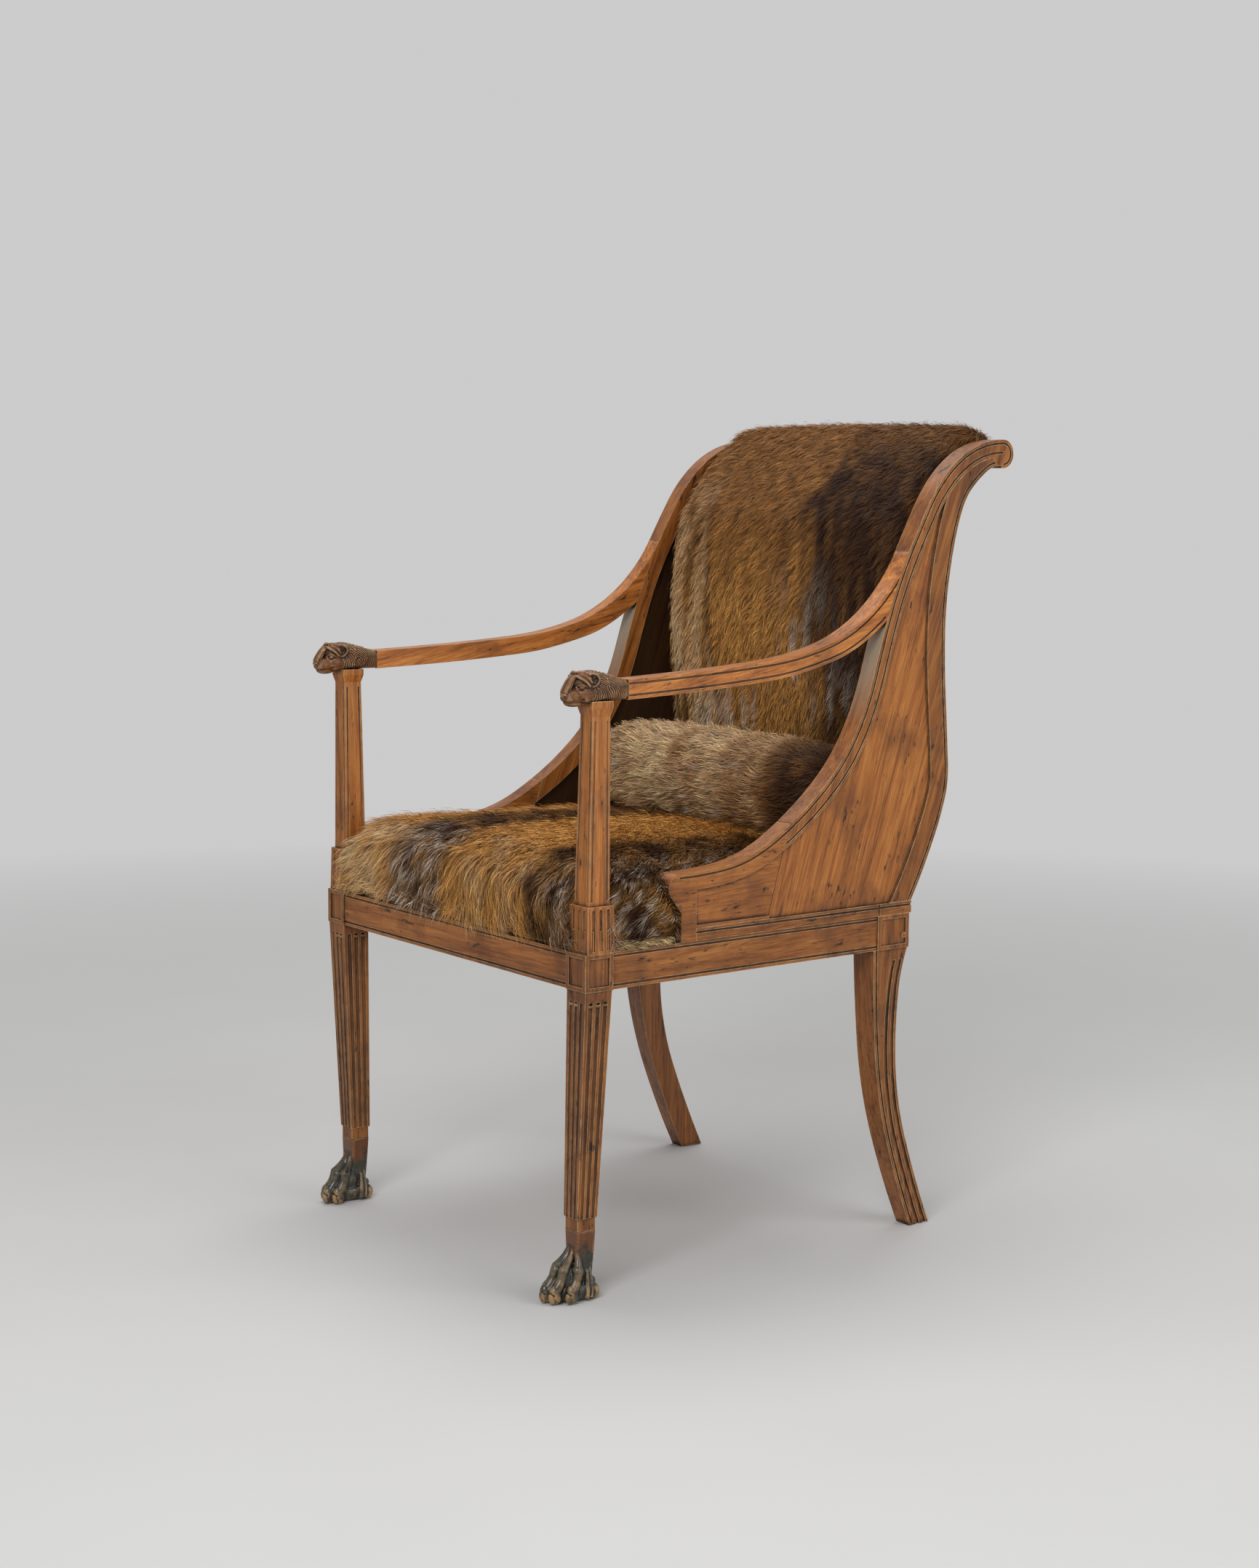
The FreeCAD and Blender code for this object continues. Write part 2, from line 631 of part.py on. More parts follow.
def paw_foot(label, hand):
    """Square ankle that swells into a flat-soled paw with four toes and a heel roll."""
    middle = leg_foot_middle(hand)

    def at(across, along, rise):
        return Placement(middle + vec(across, along, rise), Rotation())

    parts = [
        taper(f"paw_ankle_{label}", at(0, 0, S.splice_height), S.ankle_width, S.ankle_width,
              S.splice_height - S.toe_rise),
        ellipsoid(f"paw_palm_{label}", at(0, -S.palm_forward, S.palm_rise), S.palm_width / 2, S.palm_long / 2,
                  S.paw_height / 2),
        ellipsoid(f"paw_heel_{label}", at(0, S.paw_heel - S.heel_long / 2, S.toe_rise), S.heel_width / 2,
                  S.heel_long / 2, S.toe_rise)]
    tips = S.toe_long / 2 - S.paw_reach - S.block_side / 2
    spread = (S.paw_width - S.toe_width) / 3
    for lane in (-1.5, -0.5, 0.5, 1.5):
        back = S.outer_toe_back if abs(lane) > 1 else 0
        place = at(spread * lane, tips + back, S.toe_rise)
        parts.append(ellipsoid(f"paw_toe_{label}", place, S.toe_width / 2, S.toe_long / 2, S.toe_height / 2))
    whole = fuse(f"paw_whole_{label}", parts)
    under = box(f"paw_floor_{label}", at(-S.paw_width, -S.paw_reach * 2, -S.paw_height), S.paw_width * 2,
                S.paw_reach * 4, S.paw_height)
    node(cut(f"paw_cut_{label}", whole, [under, dowel(f"paw_dowel_hole_{label}", hand)]), f"paw_foot_{label}")


def foot_dowels():
    dowels = [dowel(f"foot_dowel_{label}", hand) for label, hand in HANDS]
    node(group("foot_dowel_set", dowels), "foot_dowels")


# Rear legs


def sabre_edges():
    """Front and back edge of a sabre leg, from the block down to the floor."""
    back = S.seat_depth
    low = RAIL_BOTTOM
    foot_back = back + S.sabre_reach * 2
    waist = back - S.sabre_hollow
    front = path((back - S.sabre_top, low, -88), (waist - S.sabre_waist, S.sabre_waist_rise, -84),
                 (foot_back - S.sabre_foot, 0, -65))
    rear = path((back, low, -110), (waist, S.sabre_waist_rise, -88), (foot_back, 0, -65))
    return front, rear


def rear_leg(label, hand, rail_tenon):
    front, rear = sabre_edges()
    angle = math.degrees(math.atan2(S.sabre_taper.value, RAIL_BOTTOM.value))
    hinge = side_place(hand, rise=RAIL_BOTTOM)
    tilt = hinge.multiply(Placement(Vector(), Rotation(Vector(0, 1, 0), hand * angle)))
    tilt = tilt.multiply(spot(0, 0, -RAIL_BOTTOM.value))
    outline = closed(shifted(front, 0), backwards(shifted(rear, 0)))
    slope = prism(f"sabre_slope_{label}", outline, hand, S.rail_setback,
                  S.rear_block_thick + S.sabre_taper, tilt)
    slab = side_box(f"sabre_slab_{label}", hand, (0, S.seat_depth * 2), (0, S.rear_block_thick),
                    (0, RAIL_BOTTOM))
    sabre = common(f"sabre_{label}", slope, slab)
    block = side_box(f"rear_block_{label}", hand, (REAR_BLOCK_FRONT, S.seat_depth), (0, S.rear_block_thick),
                     (RAIL_BOTTOM, S.rail_top))
    panel = side_box(f"rear_panel_{label}", hand,
                     (REAR_BLOCK_FRONT + S.panel_border, S.seat_depth - S.panel_border), (0, S.panel_sink),
                     (RAIL_BOTTOM + S.panel_border, S.rail_top - S.panel_border))
    mortise = rail_slot(f"rear_mortise_{label}", hand,
                        (REAR_BLOCK_FRONT - PAST, REAR_BLOCK_FRONT + S.tenon_long))
    near = S.rail_setback - PAST
    flutes = []
    for lane in (0, 1):
        offset = -(S.rear_flute_edge + S.rear_flute_pitch * lane)
        strip = band(rear, offset, offset - S.rear_flute_width)
        flutes.append(prism(f"rear_flute_{lane}_{label}", strip, hand, near,
                            S.rail_setback + S.rear_flute_sink, tilt))
    stop = side_box(f"rear_flute_stop_{label}", hand, (0, S.seat_depth * 2),
                    (-S.rear_block_thick, S.rear_block_thick), (RAIL_BOTTOM - S.flute_top_gap, S.rail_top))
    stopped = cut(f"rear_flutes_{label}", fuse(f"rear_flute_pair_{label}", flutes), [stop])
    bead = band(front, S.bead_width, S.bead_width + S.groove_width)
    line = prism(f"rear_leg_line_{label}", bead, hand, near, S.rail_setback + S.groove_sink, tilt)
    tools = [panel, mortise, rail_tenon, peg(f"peg_hole_{label}", hand), stopped, line]
    whole = fuse(f"rear_leg_whole_{label}", [sabre, block])
    node(cut(f"rear_leg_cut_{label}", whole, tools), f"rear_leg_{label}")


def peg(name, hand):
    """A drawbore peg through the back corner of the rear block."""
    place = side_place(hand, S.seat_depth - S.peg_inset, 0, RAIL_BOTTOM + S.peg_rise)
    across = Rotation(Vector(0, 1, 0), -90 * hand)
    return cylinder(name, place.multiply(Placement(Vector(), across)), S.peg_width / 2, S.rear_block_thick)


def rear_pegs():
    pegs = [peg(f"rear_peg_{label}", hand) for label, hand in HANDS]
    node(group("rear_peg_set", pegs), "rear_block_pegs")


# Arm posts


def plinth_middle(hand):
    return hand * (HALF_WIDTH - S.plinth_width / 2 - S.plinth_inset).value


def arm_post(label, hand):
    x = plinth_middle(hand)
    plinth_top = S.rail_top + S.plinth_height
    plinth_head = spot(x, POST_RUN, plinth_top)
    plinth = taper(f"plinth_{label}", plinth_head, S.plinth_neck, S.plinth_width, S.plinth_height)
    fluted_high = (S.plinth_height - S.sole_height / 2).value
    flutes = face_flutes(f"plinth_{label}", plinth_head, S.plinth_neck.value, S.plinth_width.value,
                         fluted_high, S.flute_top_radius.value * 2,
                         (S.flute_foot_radius, S.flute_foot_radius))
    fluted = cut(f"plinth_fluted_{label}", plinth, [flutes])
    cables = face_flutes(f"cable_{label}", plinth_head, S.plinth_neck.value, S.plinth_width.value,
                         fluted_high, fluted_high - S.cable_height.value,
                         (S.cable_radius, S.cable_radius), sink=S.cable_sink.value, rounded=False)
    sole = taper(f"plinth_sole_{label}", spot(x, POST_RUN, S.rail_top + S.sole_height),
                 S.plinth_width, S.plinth_width, S.sole_height)
    foot_high = CAP_TOP - S.cap_height - plinth_top
    lean = as_size(hand) * S.post_lean
    neck_place = spot(x + lean.value, POST_RUN, CAP_TOP - S.cap_height)
    shaft = taper(f"post_shaft_{label}", neck_place, S.post_neck_width, S.post_foot_width, foot_high,
                  (-lean, 0))
    flare = taper(f"post_flare_{label}", neck_place, S.cap_width, S.post_neck_width, S.cap_flare)
    cap = taper(f"post_cap_{label}", spot(x + lean.value, POST_RUN, CAP_TOP), S.cap_width,
                S.cap_width, S.cap_height)
    whole = fuse(f"post_whole_{label}",
                 [fluted, cables, sole, shaft, flare, cap, post_tenon(f"post_tenon_{label}", hand)])
    lines = post_grooves(label, neck_place, foot_high, lean)
    node(cut(f"post_cut_{label}", whole, lines), f"arm_post_{label}")


def post_grooves(label, neck_place, foot_high, lean):
    """Fine upright lines beside the post's edges, two on each face."""
    lines = []
    stops = ((S.post_neck_width, S.cap_flare + S.line_stop, 0.0),
             (S.post_foot_width, foot_high - S.line_stop, -lean.value))
    for face in range(4):
        turn = Rotation(UP, 90 * face)
        for lane in (-1, 1):
            ends = []
            for width, drop, shift in stops:
                corner = width.value / 2
                offset = Vector(lane * (corner - S.bead_width.value), -corner, -drop.value)
                ends.append(turn.multVec(offset) + Vector(shift, 0, 0))
            run = ends[0] - ends[1]
            rod = cylinder(f"post_line_{label}", neck_place.multiply(Placement(ends[1], Rotation(UP, run))),
                           S.groove_width / 2, as_size(run.Length))
            lines.append(rod)
    return lines


# Arms and lion heads


def arm_paths():
    """Top and bottom edge of an arm, from the lion head back to the stile."""
    low = ARM_TOP - S.arm_depth
    sweep = (S.seat_depth - S.arm_sweep_back, ARM_TOP + S.arm_sweep_rise, 38)
    bow = (S.arm_bow_run, ARM_TOP + S.arm_bow_rise, 5)
    top = path((S.arm_front, ARM_TOP, 2), bow, sweep, SHOULDER)
    bottom = path((S.arm_front, low, 2), (S.arm_bow_run, low + S.arm_bow_rise, 5),
                  (S.seat_depth - S.arm_dip_back, low + S.arm_dip_rise, 16), (ELBOW[0], ELBOW[1], 38))
    return top, bottom


def arm_dowel(name, hand):
    """Dowel between a lion head and its arm."""
    place = side_place(hand, S.arm_front - S.arm_dowel * 2, SIDE_MIDDLE, ARM_TOP - S.arm_depth / 2)
    back = Rotation(Vector(1, 0, 0), -90)
    return cylinder(name, place.multiply(Placement(Vector(), back)), S.arm_dowel / 2, S.arm_dowel * 4)


def arm(label, hand):
    top, bottom = arm_paths()
    outline = closed(shifted(top, 0), backwards(shifted(ARM_JOINT, 0)), backwards(shifted(bottom, 0)))
    bar = prism(f"arm_bar_{label}", outline, hand, 0, S.side_thick)
    lines = [edge_groove(f"arm_line_top_{label}", top, -(S.bead_width + S.groove_width), hand),
             edge_groove(f"arm_line_bottom_{label}", bottom, S.bead_width, hand)]
    node(cut(f"arm_cut_{label}", bar, lines + [arm_dowel(f"arm_dowel_hole_{label}", hand)]), f"arm_{label}")


def arm_dowels():
    dowels = [arm_dowel(f"arm_dowel_{label}", hand) for label, hand in HANDS]
    node(group("arm_dowel_set", dowels), "arm_dowels")


def lion_head(label, hand):
    """Skull, muzzle, brows, ears and mane locks, seated on the post's cap and against the arm."""
    middle = ARM_TOP - S.arm_depth / 2

    def egg(tag, run, rise, aside, across, along, tall):
        place = side_place(hand, run, SIDE_MIDDLE + aside, middle + rise)
        return ellipsoid(f"lion_{tag}_{label}", place, as_size(across) / 2, as_size(along) / 2,
                         as_size(tall) / 2)

    front = S.muzzle_long / 2 - S.head_reach
    crown = S.arm_depth / 2 + S.head_crown
    parts = [
        egg("skull", POST_RUN - S.brow_size, 0, 0, S.head_width, S.skull_long, crown * 2),
        egg("mane", POST_RUN + S.brow_size, 0, 0, S.mane_width, S.mane_long, crown * 1.8),
        egg("muzzle", front, -S.muzzle_drop, 0, S.muzzle_width, S.muzzle_long, S.muzzle_tall),
        egg("nose", front, S.muzzle_drop, 0, S.muzzle_width / 2, S.muzzle_long, S.muzzle_tall * 0.7)]
    for side in (-1, 1):
        parts.append(egg("brow", POST_RUN - S.skull_long * 0.42, S.head_crown - S.brow_size / 2,
                         S.head_width * side / 5, S.brow_size * 1.8, S.brow_size * 2, S.brow_size * 1.6))
        parts.append(egg("ear", POST_RUN, crown - S.ear_size * 0.7, S.head_width * side / 3, S.ear_size,
                         S.ear_size, S.ear_size * 1.3))
        for lane in (-1, 0, 1):
            parts.append(egg("lock", POST_RUN + S.lock_long / 2, S.lock_thick * 1.5 * lane,
                             (S.mane_width - S.lock_thick) * side / 2, S.lock_thick, S.lock_long,
                             S.lock_thick * 1.4))
    low = ARM_TOP - S.arm_depth
    parts.append(side_box(f"lion_tail_{label}", hand, (POST_RUN, S.arm_front), (0, S.side_thick),
                          (low, ARM_TOP)))
    wide = (-S.head_width, S.side_thick + S.head_width)
    tools = [
        side_box(f"lion_under_{label}", hand, (-S.head_reach * 2, S.arm_front * 2), wide,
                 (low - S.arm_depth * 2, low)),
        side_box(f"lion_behind_{label}", hand, (S.arm_front, S.arm_front * 2), wide,
                 (low - S.arm_depth, ARM_TOP + S.arm_depth * 2)),
        side_box(f"lion_mouth_{label}", hand, (-S.head_reach * 2, front), wide,
                 (middle - S.mouth_drop, middle - S.mouth_drop + S.groove_width)),
        arm_dowel(f"lion_dowel_hole_{label}", hand)]
    node(cut(f"lion_cut_{label}", fuse(f"lion_whole_{label}", parts), tools), f"lion_head_{label}")


# Side frames


def panel_field(name, hand):
    """The sunk panel of a side frame, with its edges housed in the stiles' grooves."""
    stile_cover = S.stile_width - S.panel_housing
    rear_cover = S.rear_stile_width - S.panel_housing
    rear_middle = shifted(BACK_EDGE, S.rear_stile_width / 2)
    foot = polyline([(rear_middle[0][0].x, SHOE_TOP), (S.nose_swell_run, SHOE_TOP)])
    field = closed(shifted(STILE_EDGE, -(S.stile_width / 2)), backwards(rear_middle), foot)
    near, far = S.panel_recess, S.panel_recess + S.panel_thick
    board = prism(f"{name}_board", field, hand, near, far)
    past = (near - PAST, far + PAST)
    tools = [prism(f"{name}_front_cover", band(STILE_EDGE, PAST, -stile_cover), hand, *past),
             prism(f"{name}_rear_cover", band(BACK_EDGE, -PAST, rear_cover), hand, *past),
             scroll_disc(f"{name}_eye", hand, S.scroll_radius, *past),
             before_seam(f"{name}_seam", hand), side_shoe_space(f"{name}_foot", hand)]
    return cut(name, board, tools)


def side_shoe_space(name, hand):
    """The layer that the shoe takes up, over the whole length of a side."""
    depth = (-PAST, S.side_thick + PAST)
    return side_box(name, hand, (0, S.seat_depth * 2), depth, (RAIL_BOTTOM, SHOE_TOP))


def scroll_disc(name, hand, radius, near, far):
    """A round through the eye of the scroll."""
    inward = far if hand > 0 else near
    place = side_place(hand, SCROLL_EYE[0], inward, SCROLL_EYE[1])
    across = Rotation(Vector(0, 1, 0), 90)
    return cylinder(name, place.multiply(Placement(Vector(), across)), radius, as_size(far) - near)


def stile_space(name, hand, near, far):
    """The stile and its scroll, over a range of depths."""
    return fuse(name, [prism(f"{name}_band", band(STILE_EDGE, 0, -S.stile_width), hand, near, far),
                       scroll_disc(f"{name}_eye", hand, S.scroll_radius, near, far)])


def scroll_notch(name, hand):
    """The nick under a scroll, where its curl turns back towards the rear stile."""
    place = side_place(hand, UNDER_SCROLL[0], S.side_thick + PAST if hand > 0 else -PAST,
                       SCROLL_EYE[1] - S.scroll_radius)
    place = place.multiply(Placement(Vector(), Rotation(Vector(0, 1, 0), 90)))
    return cylinder(name, place, S.scroll_notch, S.side_thick + PAST * 2)


def front_stile(label, hand):
    whole = stile_space(f"stile_whole_{label}", hand, 0, S.side_thick)
    inner_ring = S.scroll_radius - S.bead_width - S.groove_width
    ring = cut(f"stile_ring_{label}",
               scroll_disc(f"stile_ring_out_{label}", hand, S.scroll_radius - S.bead_width, 0, S.groove_sink),
               [scroll_disc(f"stile_ring_in_{label}", hand, inner_ring, -PAST, S.groove_sink + PAST),
                side_box(f"stile_ring_stop_{label}", hand,
                         (SCROLL_EYE[0] - S.scroll_radius * 2, SCROLL_EYE[0]), (-PAST, S.side_thick),
                         (SCROLL_EYE[1] - S.scroll_radius * 2, SCROLL_TOP + PAST))])
    line = edge_groove(f"stile_line_{label}", STILE_EDGE, -(S.bead_width + S.groove_width), hand)
    inner_line = edge_groove(f"stile_inner_line_{label}", STILE_EDGE, -(S.stile_width - S.bead_width), hand)
    tools = [before_seam(f"stile_seam_{label}", hand), panel_field(f"stile_rebate_{label}", hand),
             ring, line, inner_line, scroll_notch(f"stile_notch_{label}", hand)]
    node(cut(f"stile_cut_{label}", whole, tools), f"front_stile_{label}")


def side_panel(label, hand):
    node(panel_field(f"side_panel_{label}_field", hand), f"side_panel_{label}")


def rear_stile(label, hand):
    bar = prism(f"rear_bar_{label}", band(BACK_EDGE, 0, S.rear_stile_width), hand, 0, S.side_thick)
    line = edge_groove(f"rear_line_{label}", BACK_EDGE, S.bead_width, hand)
    tools = [stile_space(f"rear_stop_{label}", hand, -PAST, S.side_thick + PAST), line,
             panel_field(f"rear_rebate_{label}", hand), side_shoe_space(f"rear_foot_{label}", hand),
             scroll_notch(f"rear_notch_{label}", hand)]
    node(cut(f"rear_stile_cut_{label}", bar, tools), f"rear_stile_{label}")


def volute_curl():
    """The chin under a volute, and the arc that a line off the chin runs into, over the front to the top."""
    eye = vec(VOLUTE_EYE[0], VOLUTE_EYE[1], 0)
    radius = S.volute_radius.value
    chin = vec(NOSE_FRONT, VOLUTE_EYE[1] - S.volute_drop, 0)
    reach = eye - chin
    tangent = math.sqrt(reach.Length ** 2 - radius ** 2)
    touch = chin + turned(reach / reach.Length, math.asin(radius / reach.Length)) * tangent
    start = math.atan2(touch.y - eye.y, touch.x - eye.x) % (2 * math.pi)
    halfway = (start + math.pi / 2) / 2
    front = eye + Vector(math.cos(halfway), math.sin(halfway), 0) * radius
    return chin, [touch, front, eye + Vector(0, radius, 0)]


def nose_board(label, hand):
    """Front board of the side: a volute, a short upright and a sunk field under the moulded edge."""
    chin, curl = volute_curl()
    shoe_start = NOSE_FRONT + S.nose_stile
    foot = polyline([(seam_at(SHOE_TOP), SHOE_TOP), (shoe_start, SHOE_TOP), (shoe_start, S.rail_top),
                     (NOSE_FRONT, S.rail_top), (chin.x, chin.y), (curl[0].x, curl[0].y)])
    outline = closed(shifted(NOSE_EDGE, 0), foot, [curl])
    board = prism(f"nose_whole_{label}", outline, hand, 0, S.side_thick)
    high = SEAM[1] + S.stile_width
    field = side_box(f"nose_field_{label}", hand, (shoe_start, S.seam_run * 2), (-PAST, S.panel_recess),
                     (SHOE_TOP + S.bead_width, high))
    cover = prism(f"nose_cover_{label}", band(NOSE_EDGE, S.stile_width * 2, -S.stile_width), hand, -PAST * 2,
                  S.panel_recess + PAST)
    line = edge_groove(f"nose_line_{label}", NOSE_EDGE, -(S.bead_width + S.groove_width), hand)
    sunk = cut(f"nose_sink_{label}", field, [cover])
    node(cut(f"nose_cut_{label}", board, [sunk, line]), f"nose_board_{label}")


def side_shoe(label, hand):
    """Moulded rail over the seat rail, from the nose board to the back of the rear block."""
    start, end = NOSE_FRONT + S.nose_stile, S.seat_depth + S.shoe_over
    bar = side_box(f"shoe_bar_{label}", hand, (start, end), (0, S.side_thick), (S.rail_top, SHOE_TOP))
    line = side_box(f"shoe_line_{label}", hand, (start, end), (0, S.groove_sink),
                    (SHOE_TOP - S.bead_width - S.groove_width, SHOE_TOP - S.bead_width))
    check = side_box(f"shoe_check_{label}", hand, (REAR_BLOCK_FRONT, REAR_BLOCK_FRONT + S.groove_width),
                     (0, S.groove_sink), (S.rail_top, SHOE_TOP))
    node(cut(f"shoe_cut_{label}", bar, [line, check]), f"side_shoe_{label}")


# Back frame


def crest_rail():
    """Rounded bar between the scrolls, with stub tenons that stop inside them."""
    half = S.crest_depth / 2
    run, rise = SCROLL_EYE
    left = run - S.crest_width + half
    right = run + half / 2
    outline = closed([[vec(right, rise - half, 0), vec(right + half, rise, 0), vec(right, rise + half, 0)]],
                     [[vec(left, rise + half, 0), vec(left - half, rise, 0), vec(left, rise - half, 0)]])
    node(between_sides("crest_bar", outline), "crest_rail")


def lower_back_rail():
    """Rail that the back's webbing is tacked to, just over the seat."""
    run = S.seat_depth - S.lower_rail_thick
    low = SHOE_TOP
    high = low + S.lower_rail_height
    outline = polygon([(run, low), (S.seat_depth, low), (S.seat_depth, high), (run, high)])
    node(between_sides("lower_bar", outline), "lower_back_rail")


# Upholstery


SEAT_BASE = S.rail_top + S.web_thick * 2 + S.cloth_thick
# Run over which the seat steps from one width to the next
WIDTH_STEP = 1.0
# Share of the seat's edge height at which its side is fullest
SEAT_FULLEST = 0.45
# Edge and crown of the seat's sections, from front to back, as shares of their full heights
SEAT_SHAPE = ((0.8, 0.82), (1.0, 0.96), (1.0, 0.96), (1.0, 1.0), (1.0, 1.0), (1.0, 0.95))


def seat_webbing():
    """Two layers of webbing over the seat rails: across, then from front to back."""
    strips = []
    across_count = 5
    first = S.block_side + S.web_width * 0.2
    last = S.seat_depth - S.rail_thick - S.web_width * 1.1
    for index in range(across_count):
        run = (first + (last - first) * (index / (across_count - 1))).value
        depth = S.side_thick + S.seat_gap
        half = inner_x(run + S.web_width.value, depth) - 1
        strips.append(box(f"web_across_{index}", spot(-half, run, S.rail_top),
                          as_size(half * 2), S.web_width, S.web_thick))
    along_count = 4
    reach = inner_x(S.seat_depth, S.side_thick) - S.web_width.value * 1.2
    long = S.seat_depth - S.rail_setback * 6 - S.lower_rail_thick
    for index in range(along_count):
        x = -reach + 2 * reach * index / (along_count - 1) - S.web_width.value / 2
        place = spot(x, S.rail_setback * 3, S.rail_top + S.web_thick)
        strips.append(box(f"web_along_{index}", place, S.web_width, long, S.web_thick))
    node(group("seat_web_set", strips), "seat_webbing")


def seat_plan(front, back, grow):
    """Half widths of the seat between the posts, over the side rails and between the side frames."""
    gap = S.seat_gap.value
    between_posts = (HALF_WIDTH - S.plinth_width - S.plinth_inset).value - gap
    over_rails = S.rail_setback.value + grow
    between_frames = S.side_thick.value + gap
    behind_post = POST_RUN.value + S.plinth_width.value / 2 + gap
    nose_front = side_place(1, NOSE_FRONT, S.side_thick).Base.y - gap
    return [(front, between_posts), (behind_post, between_posts),
            (behind_post + WIDTH_STEP, inner_x(behind_post, over_rails)),
            (nose_front - WIDTH_STEP, inner_x(nose_front, over_rails)),
            (nose_front, inner_x(nose_front, between_frames)), (back, inner_x(back, between_frames))]


def seat_cloth():
    back = (S.seat_depth - S.lower_rail_thick - S.cloth_inset).value
    plan = seat_plan((S.rail_setback + S.cloth_inset).value, back, S.cloth_inset.value)
    corners = [(x, y) for y, x in plan] + [(-x, y) for y, x in reversed(plan)]
    node(plan_prism("seat_cloth_sheet", corners, S.rail_top + S.web_thick * 2, SEAT_BASE), "seat_base_cloth")


def seat_section(name, y, half, edge_rise, crown):
    """An upright section across the seat: flat below, drawn-in bulging sides, a crowned top."""
    low = SEAT_BASE.value
    bulge = S.seat_gap.value
    shoulder = half - S.seat_round.value
    fullest = edge_rise * SEAT_FULLEST
    spots = [(half - bulge, 0), (half, fullest), (shoulder, edge_rise), (0, crown),
             (-shoulder, edge_rise), (-half, fullest), (bulge - half, 0)]
    corners = [vec(x, low + rise, 0) for x, rise in spots]
    place = Placement(vec(0, y, 0), Rotation(Vector(1, 0, 0), 90))
    return section(name, closed([corners[0:3], corners[2:5], corners[4:7]]), place)


def seat_pad():
    """Stuffed seat: crowned, cut round the posts and the volutes, and drawn in between the side frames."""
    back = (S.seat_depth - S.lower_rail_thick - S.seat_gap * 2).value
    plan = seat_plan(S.rail_setback.value, back, S.seat_gap.value)
    sections = []
    for index, ((y, half), (edge_share, crown_share)) in enumerate(zip(plan, SEAT_SHAPE)):
        sections.append(seat_section(f"seat_section_{index}", y, half, S.seat_edge.value * edge_share,
                                     S.seat_crown.value * crown_share))
    form = loft("seat_form", sections)
    volutes = [volute_space(f"seat_volute_{label}", hand) for label, hand in HANDS]
    node(cut("seat_cut", form, volutes), "seat_pad")


def volute_space(name, hand):
    """The space that a volute takes from the seat, with the gap round it."""
    chin, curl = volute_curl()
    gap = S.seat_gap.value
    front = VOLUTE_EYE[0].value - S.volute_radius.value - gap
    back = NOSE_FRONT.value + gap
    high = (SEAT_BASE + S.seat_crown).value
    corners = [(back, chin.y - gap), (back, high), (front, high), (front, curl[0].y - gap)]
    return prism(name, polygon(corners), hand, -PAST, S.side_thick + gap)


WEB_DEPTH = S.cover_inset + S.cloth_thick + S.back_hollow
PAD_DEPTH = WEB_DEPTH + S.web_thick + S.cloth_thick + S.cloth_gap * 3


def back_curve():
    """The rear stile's edge over the height of the back's webbing."""
    return path(WAIST, SPINE, NAPE)


def back_webbing():
    """Webbing across the back, from stile to stile, in level strips along its curve."""
    strips = []
    for index, (start, middle, end) in enumerate(shifted(back_curve(), WEB_DEPTH)):
        run = end - start
        along = run / run.Length * (S.web_width.value / 2)
        out = left_of(run / run.Length) * S.web_thick.value
        corners = [middle - along, middle + along, middle + along + out, middle - along + out]
        outline = polygon([(corner.x, corner.y) for corner in corners])
        strips.append(between_sides(f"back_web_{index}", outline, S.cloth_gap))
    node(group("back_web_set", strips), "back_webbing")


def back_cloth():
    near = WEB_DEPTH + S.web_thick + S.cloth_gap * 2
    outline = band(back_curve(), near, near + S.cloth_thick)
    node(between_sides("back_cloth_sheet", outline, S.cloth_gap), "back_base_cloth")


def outside_back():
    """Plain cloth over the outside of the back, from the lower rail to the crest."""
    outline = band(path(HIP, WAIST, SPINE, NAPE, UNDER), S.cover_inset, S.cover_inset + S.cloth_thick)
    node(between_sides("outside_back_sheet", outline, S.cloth_gap), "outside_back_cover")


def back_outline(crown, top, draw):
    """An upright section of the back pad: it follows the rear stile below and rolls over the crest above."""
    back, rise = S.seat_depth, S.rail_top
    foot = (back + S.pad_foot_reach, rise + S.pad_foot_rise, 78)
    inner = shifted(path(foot, WAIST, SPINE, NAPE), PAD_DEPTH)
    front = PAD_DEPTH.value + S.back_thick.value + crown - draw
    outer = shifted(path(
        (back - S.pad_foot_front.value - crown + draw, rise + S.pad_foot_rise, 88),
        (WAIST[0].value - front, WAIST[1], 92),
        (SPINE[0].value - front, SPINE[1], 89),
        (NAPE[0].value - front, NAPE[1].value + front / 4, 76)), 0)
    crest_front = (SCROLL_EYE[0] - S.crest_width).value
    crest_top = (SCROLL_EYE[1] + S.crest_depth / 2 + S.seat_gap).value
    peak = vec(crest_front + S.roll_peak.value, top, 0)
    round_off = S.roll_round.value
    behind = vec(SCROLL_EYE[0] + S.crest_depth / 2, crest_top, 0)
    roll = [[outer[-1][2], vec(crest_front - round_off, top - round_off, 0), peak],
            [peak, vec(SCROLL_EYE[0] - S.crest_depth / 4, top - S.roll_flat.value, 0), behind]]
    under = polyline([(behind.x, crest_top), (crest_front - S.roll_under.value, crest_top),
                      (crest_front - S.roll_tuck.value, SCROLL_EYE[1] - S.crest_depth),
                      (inner[-1][2].x, inner[-1][2].y)])
    return closed(outer, roll, under, backwards(inner))


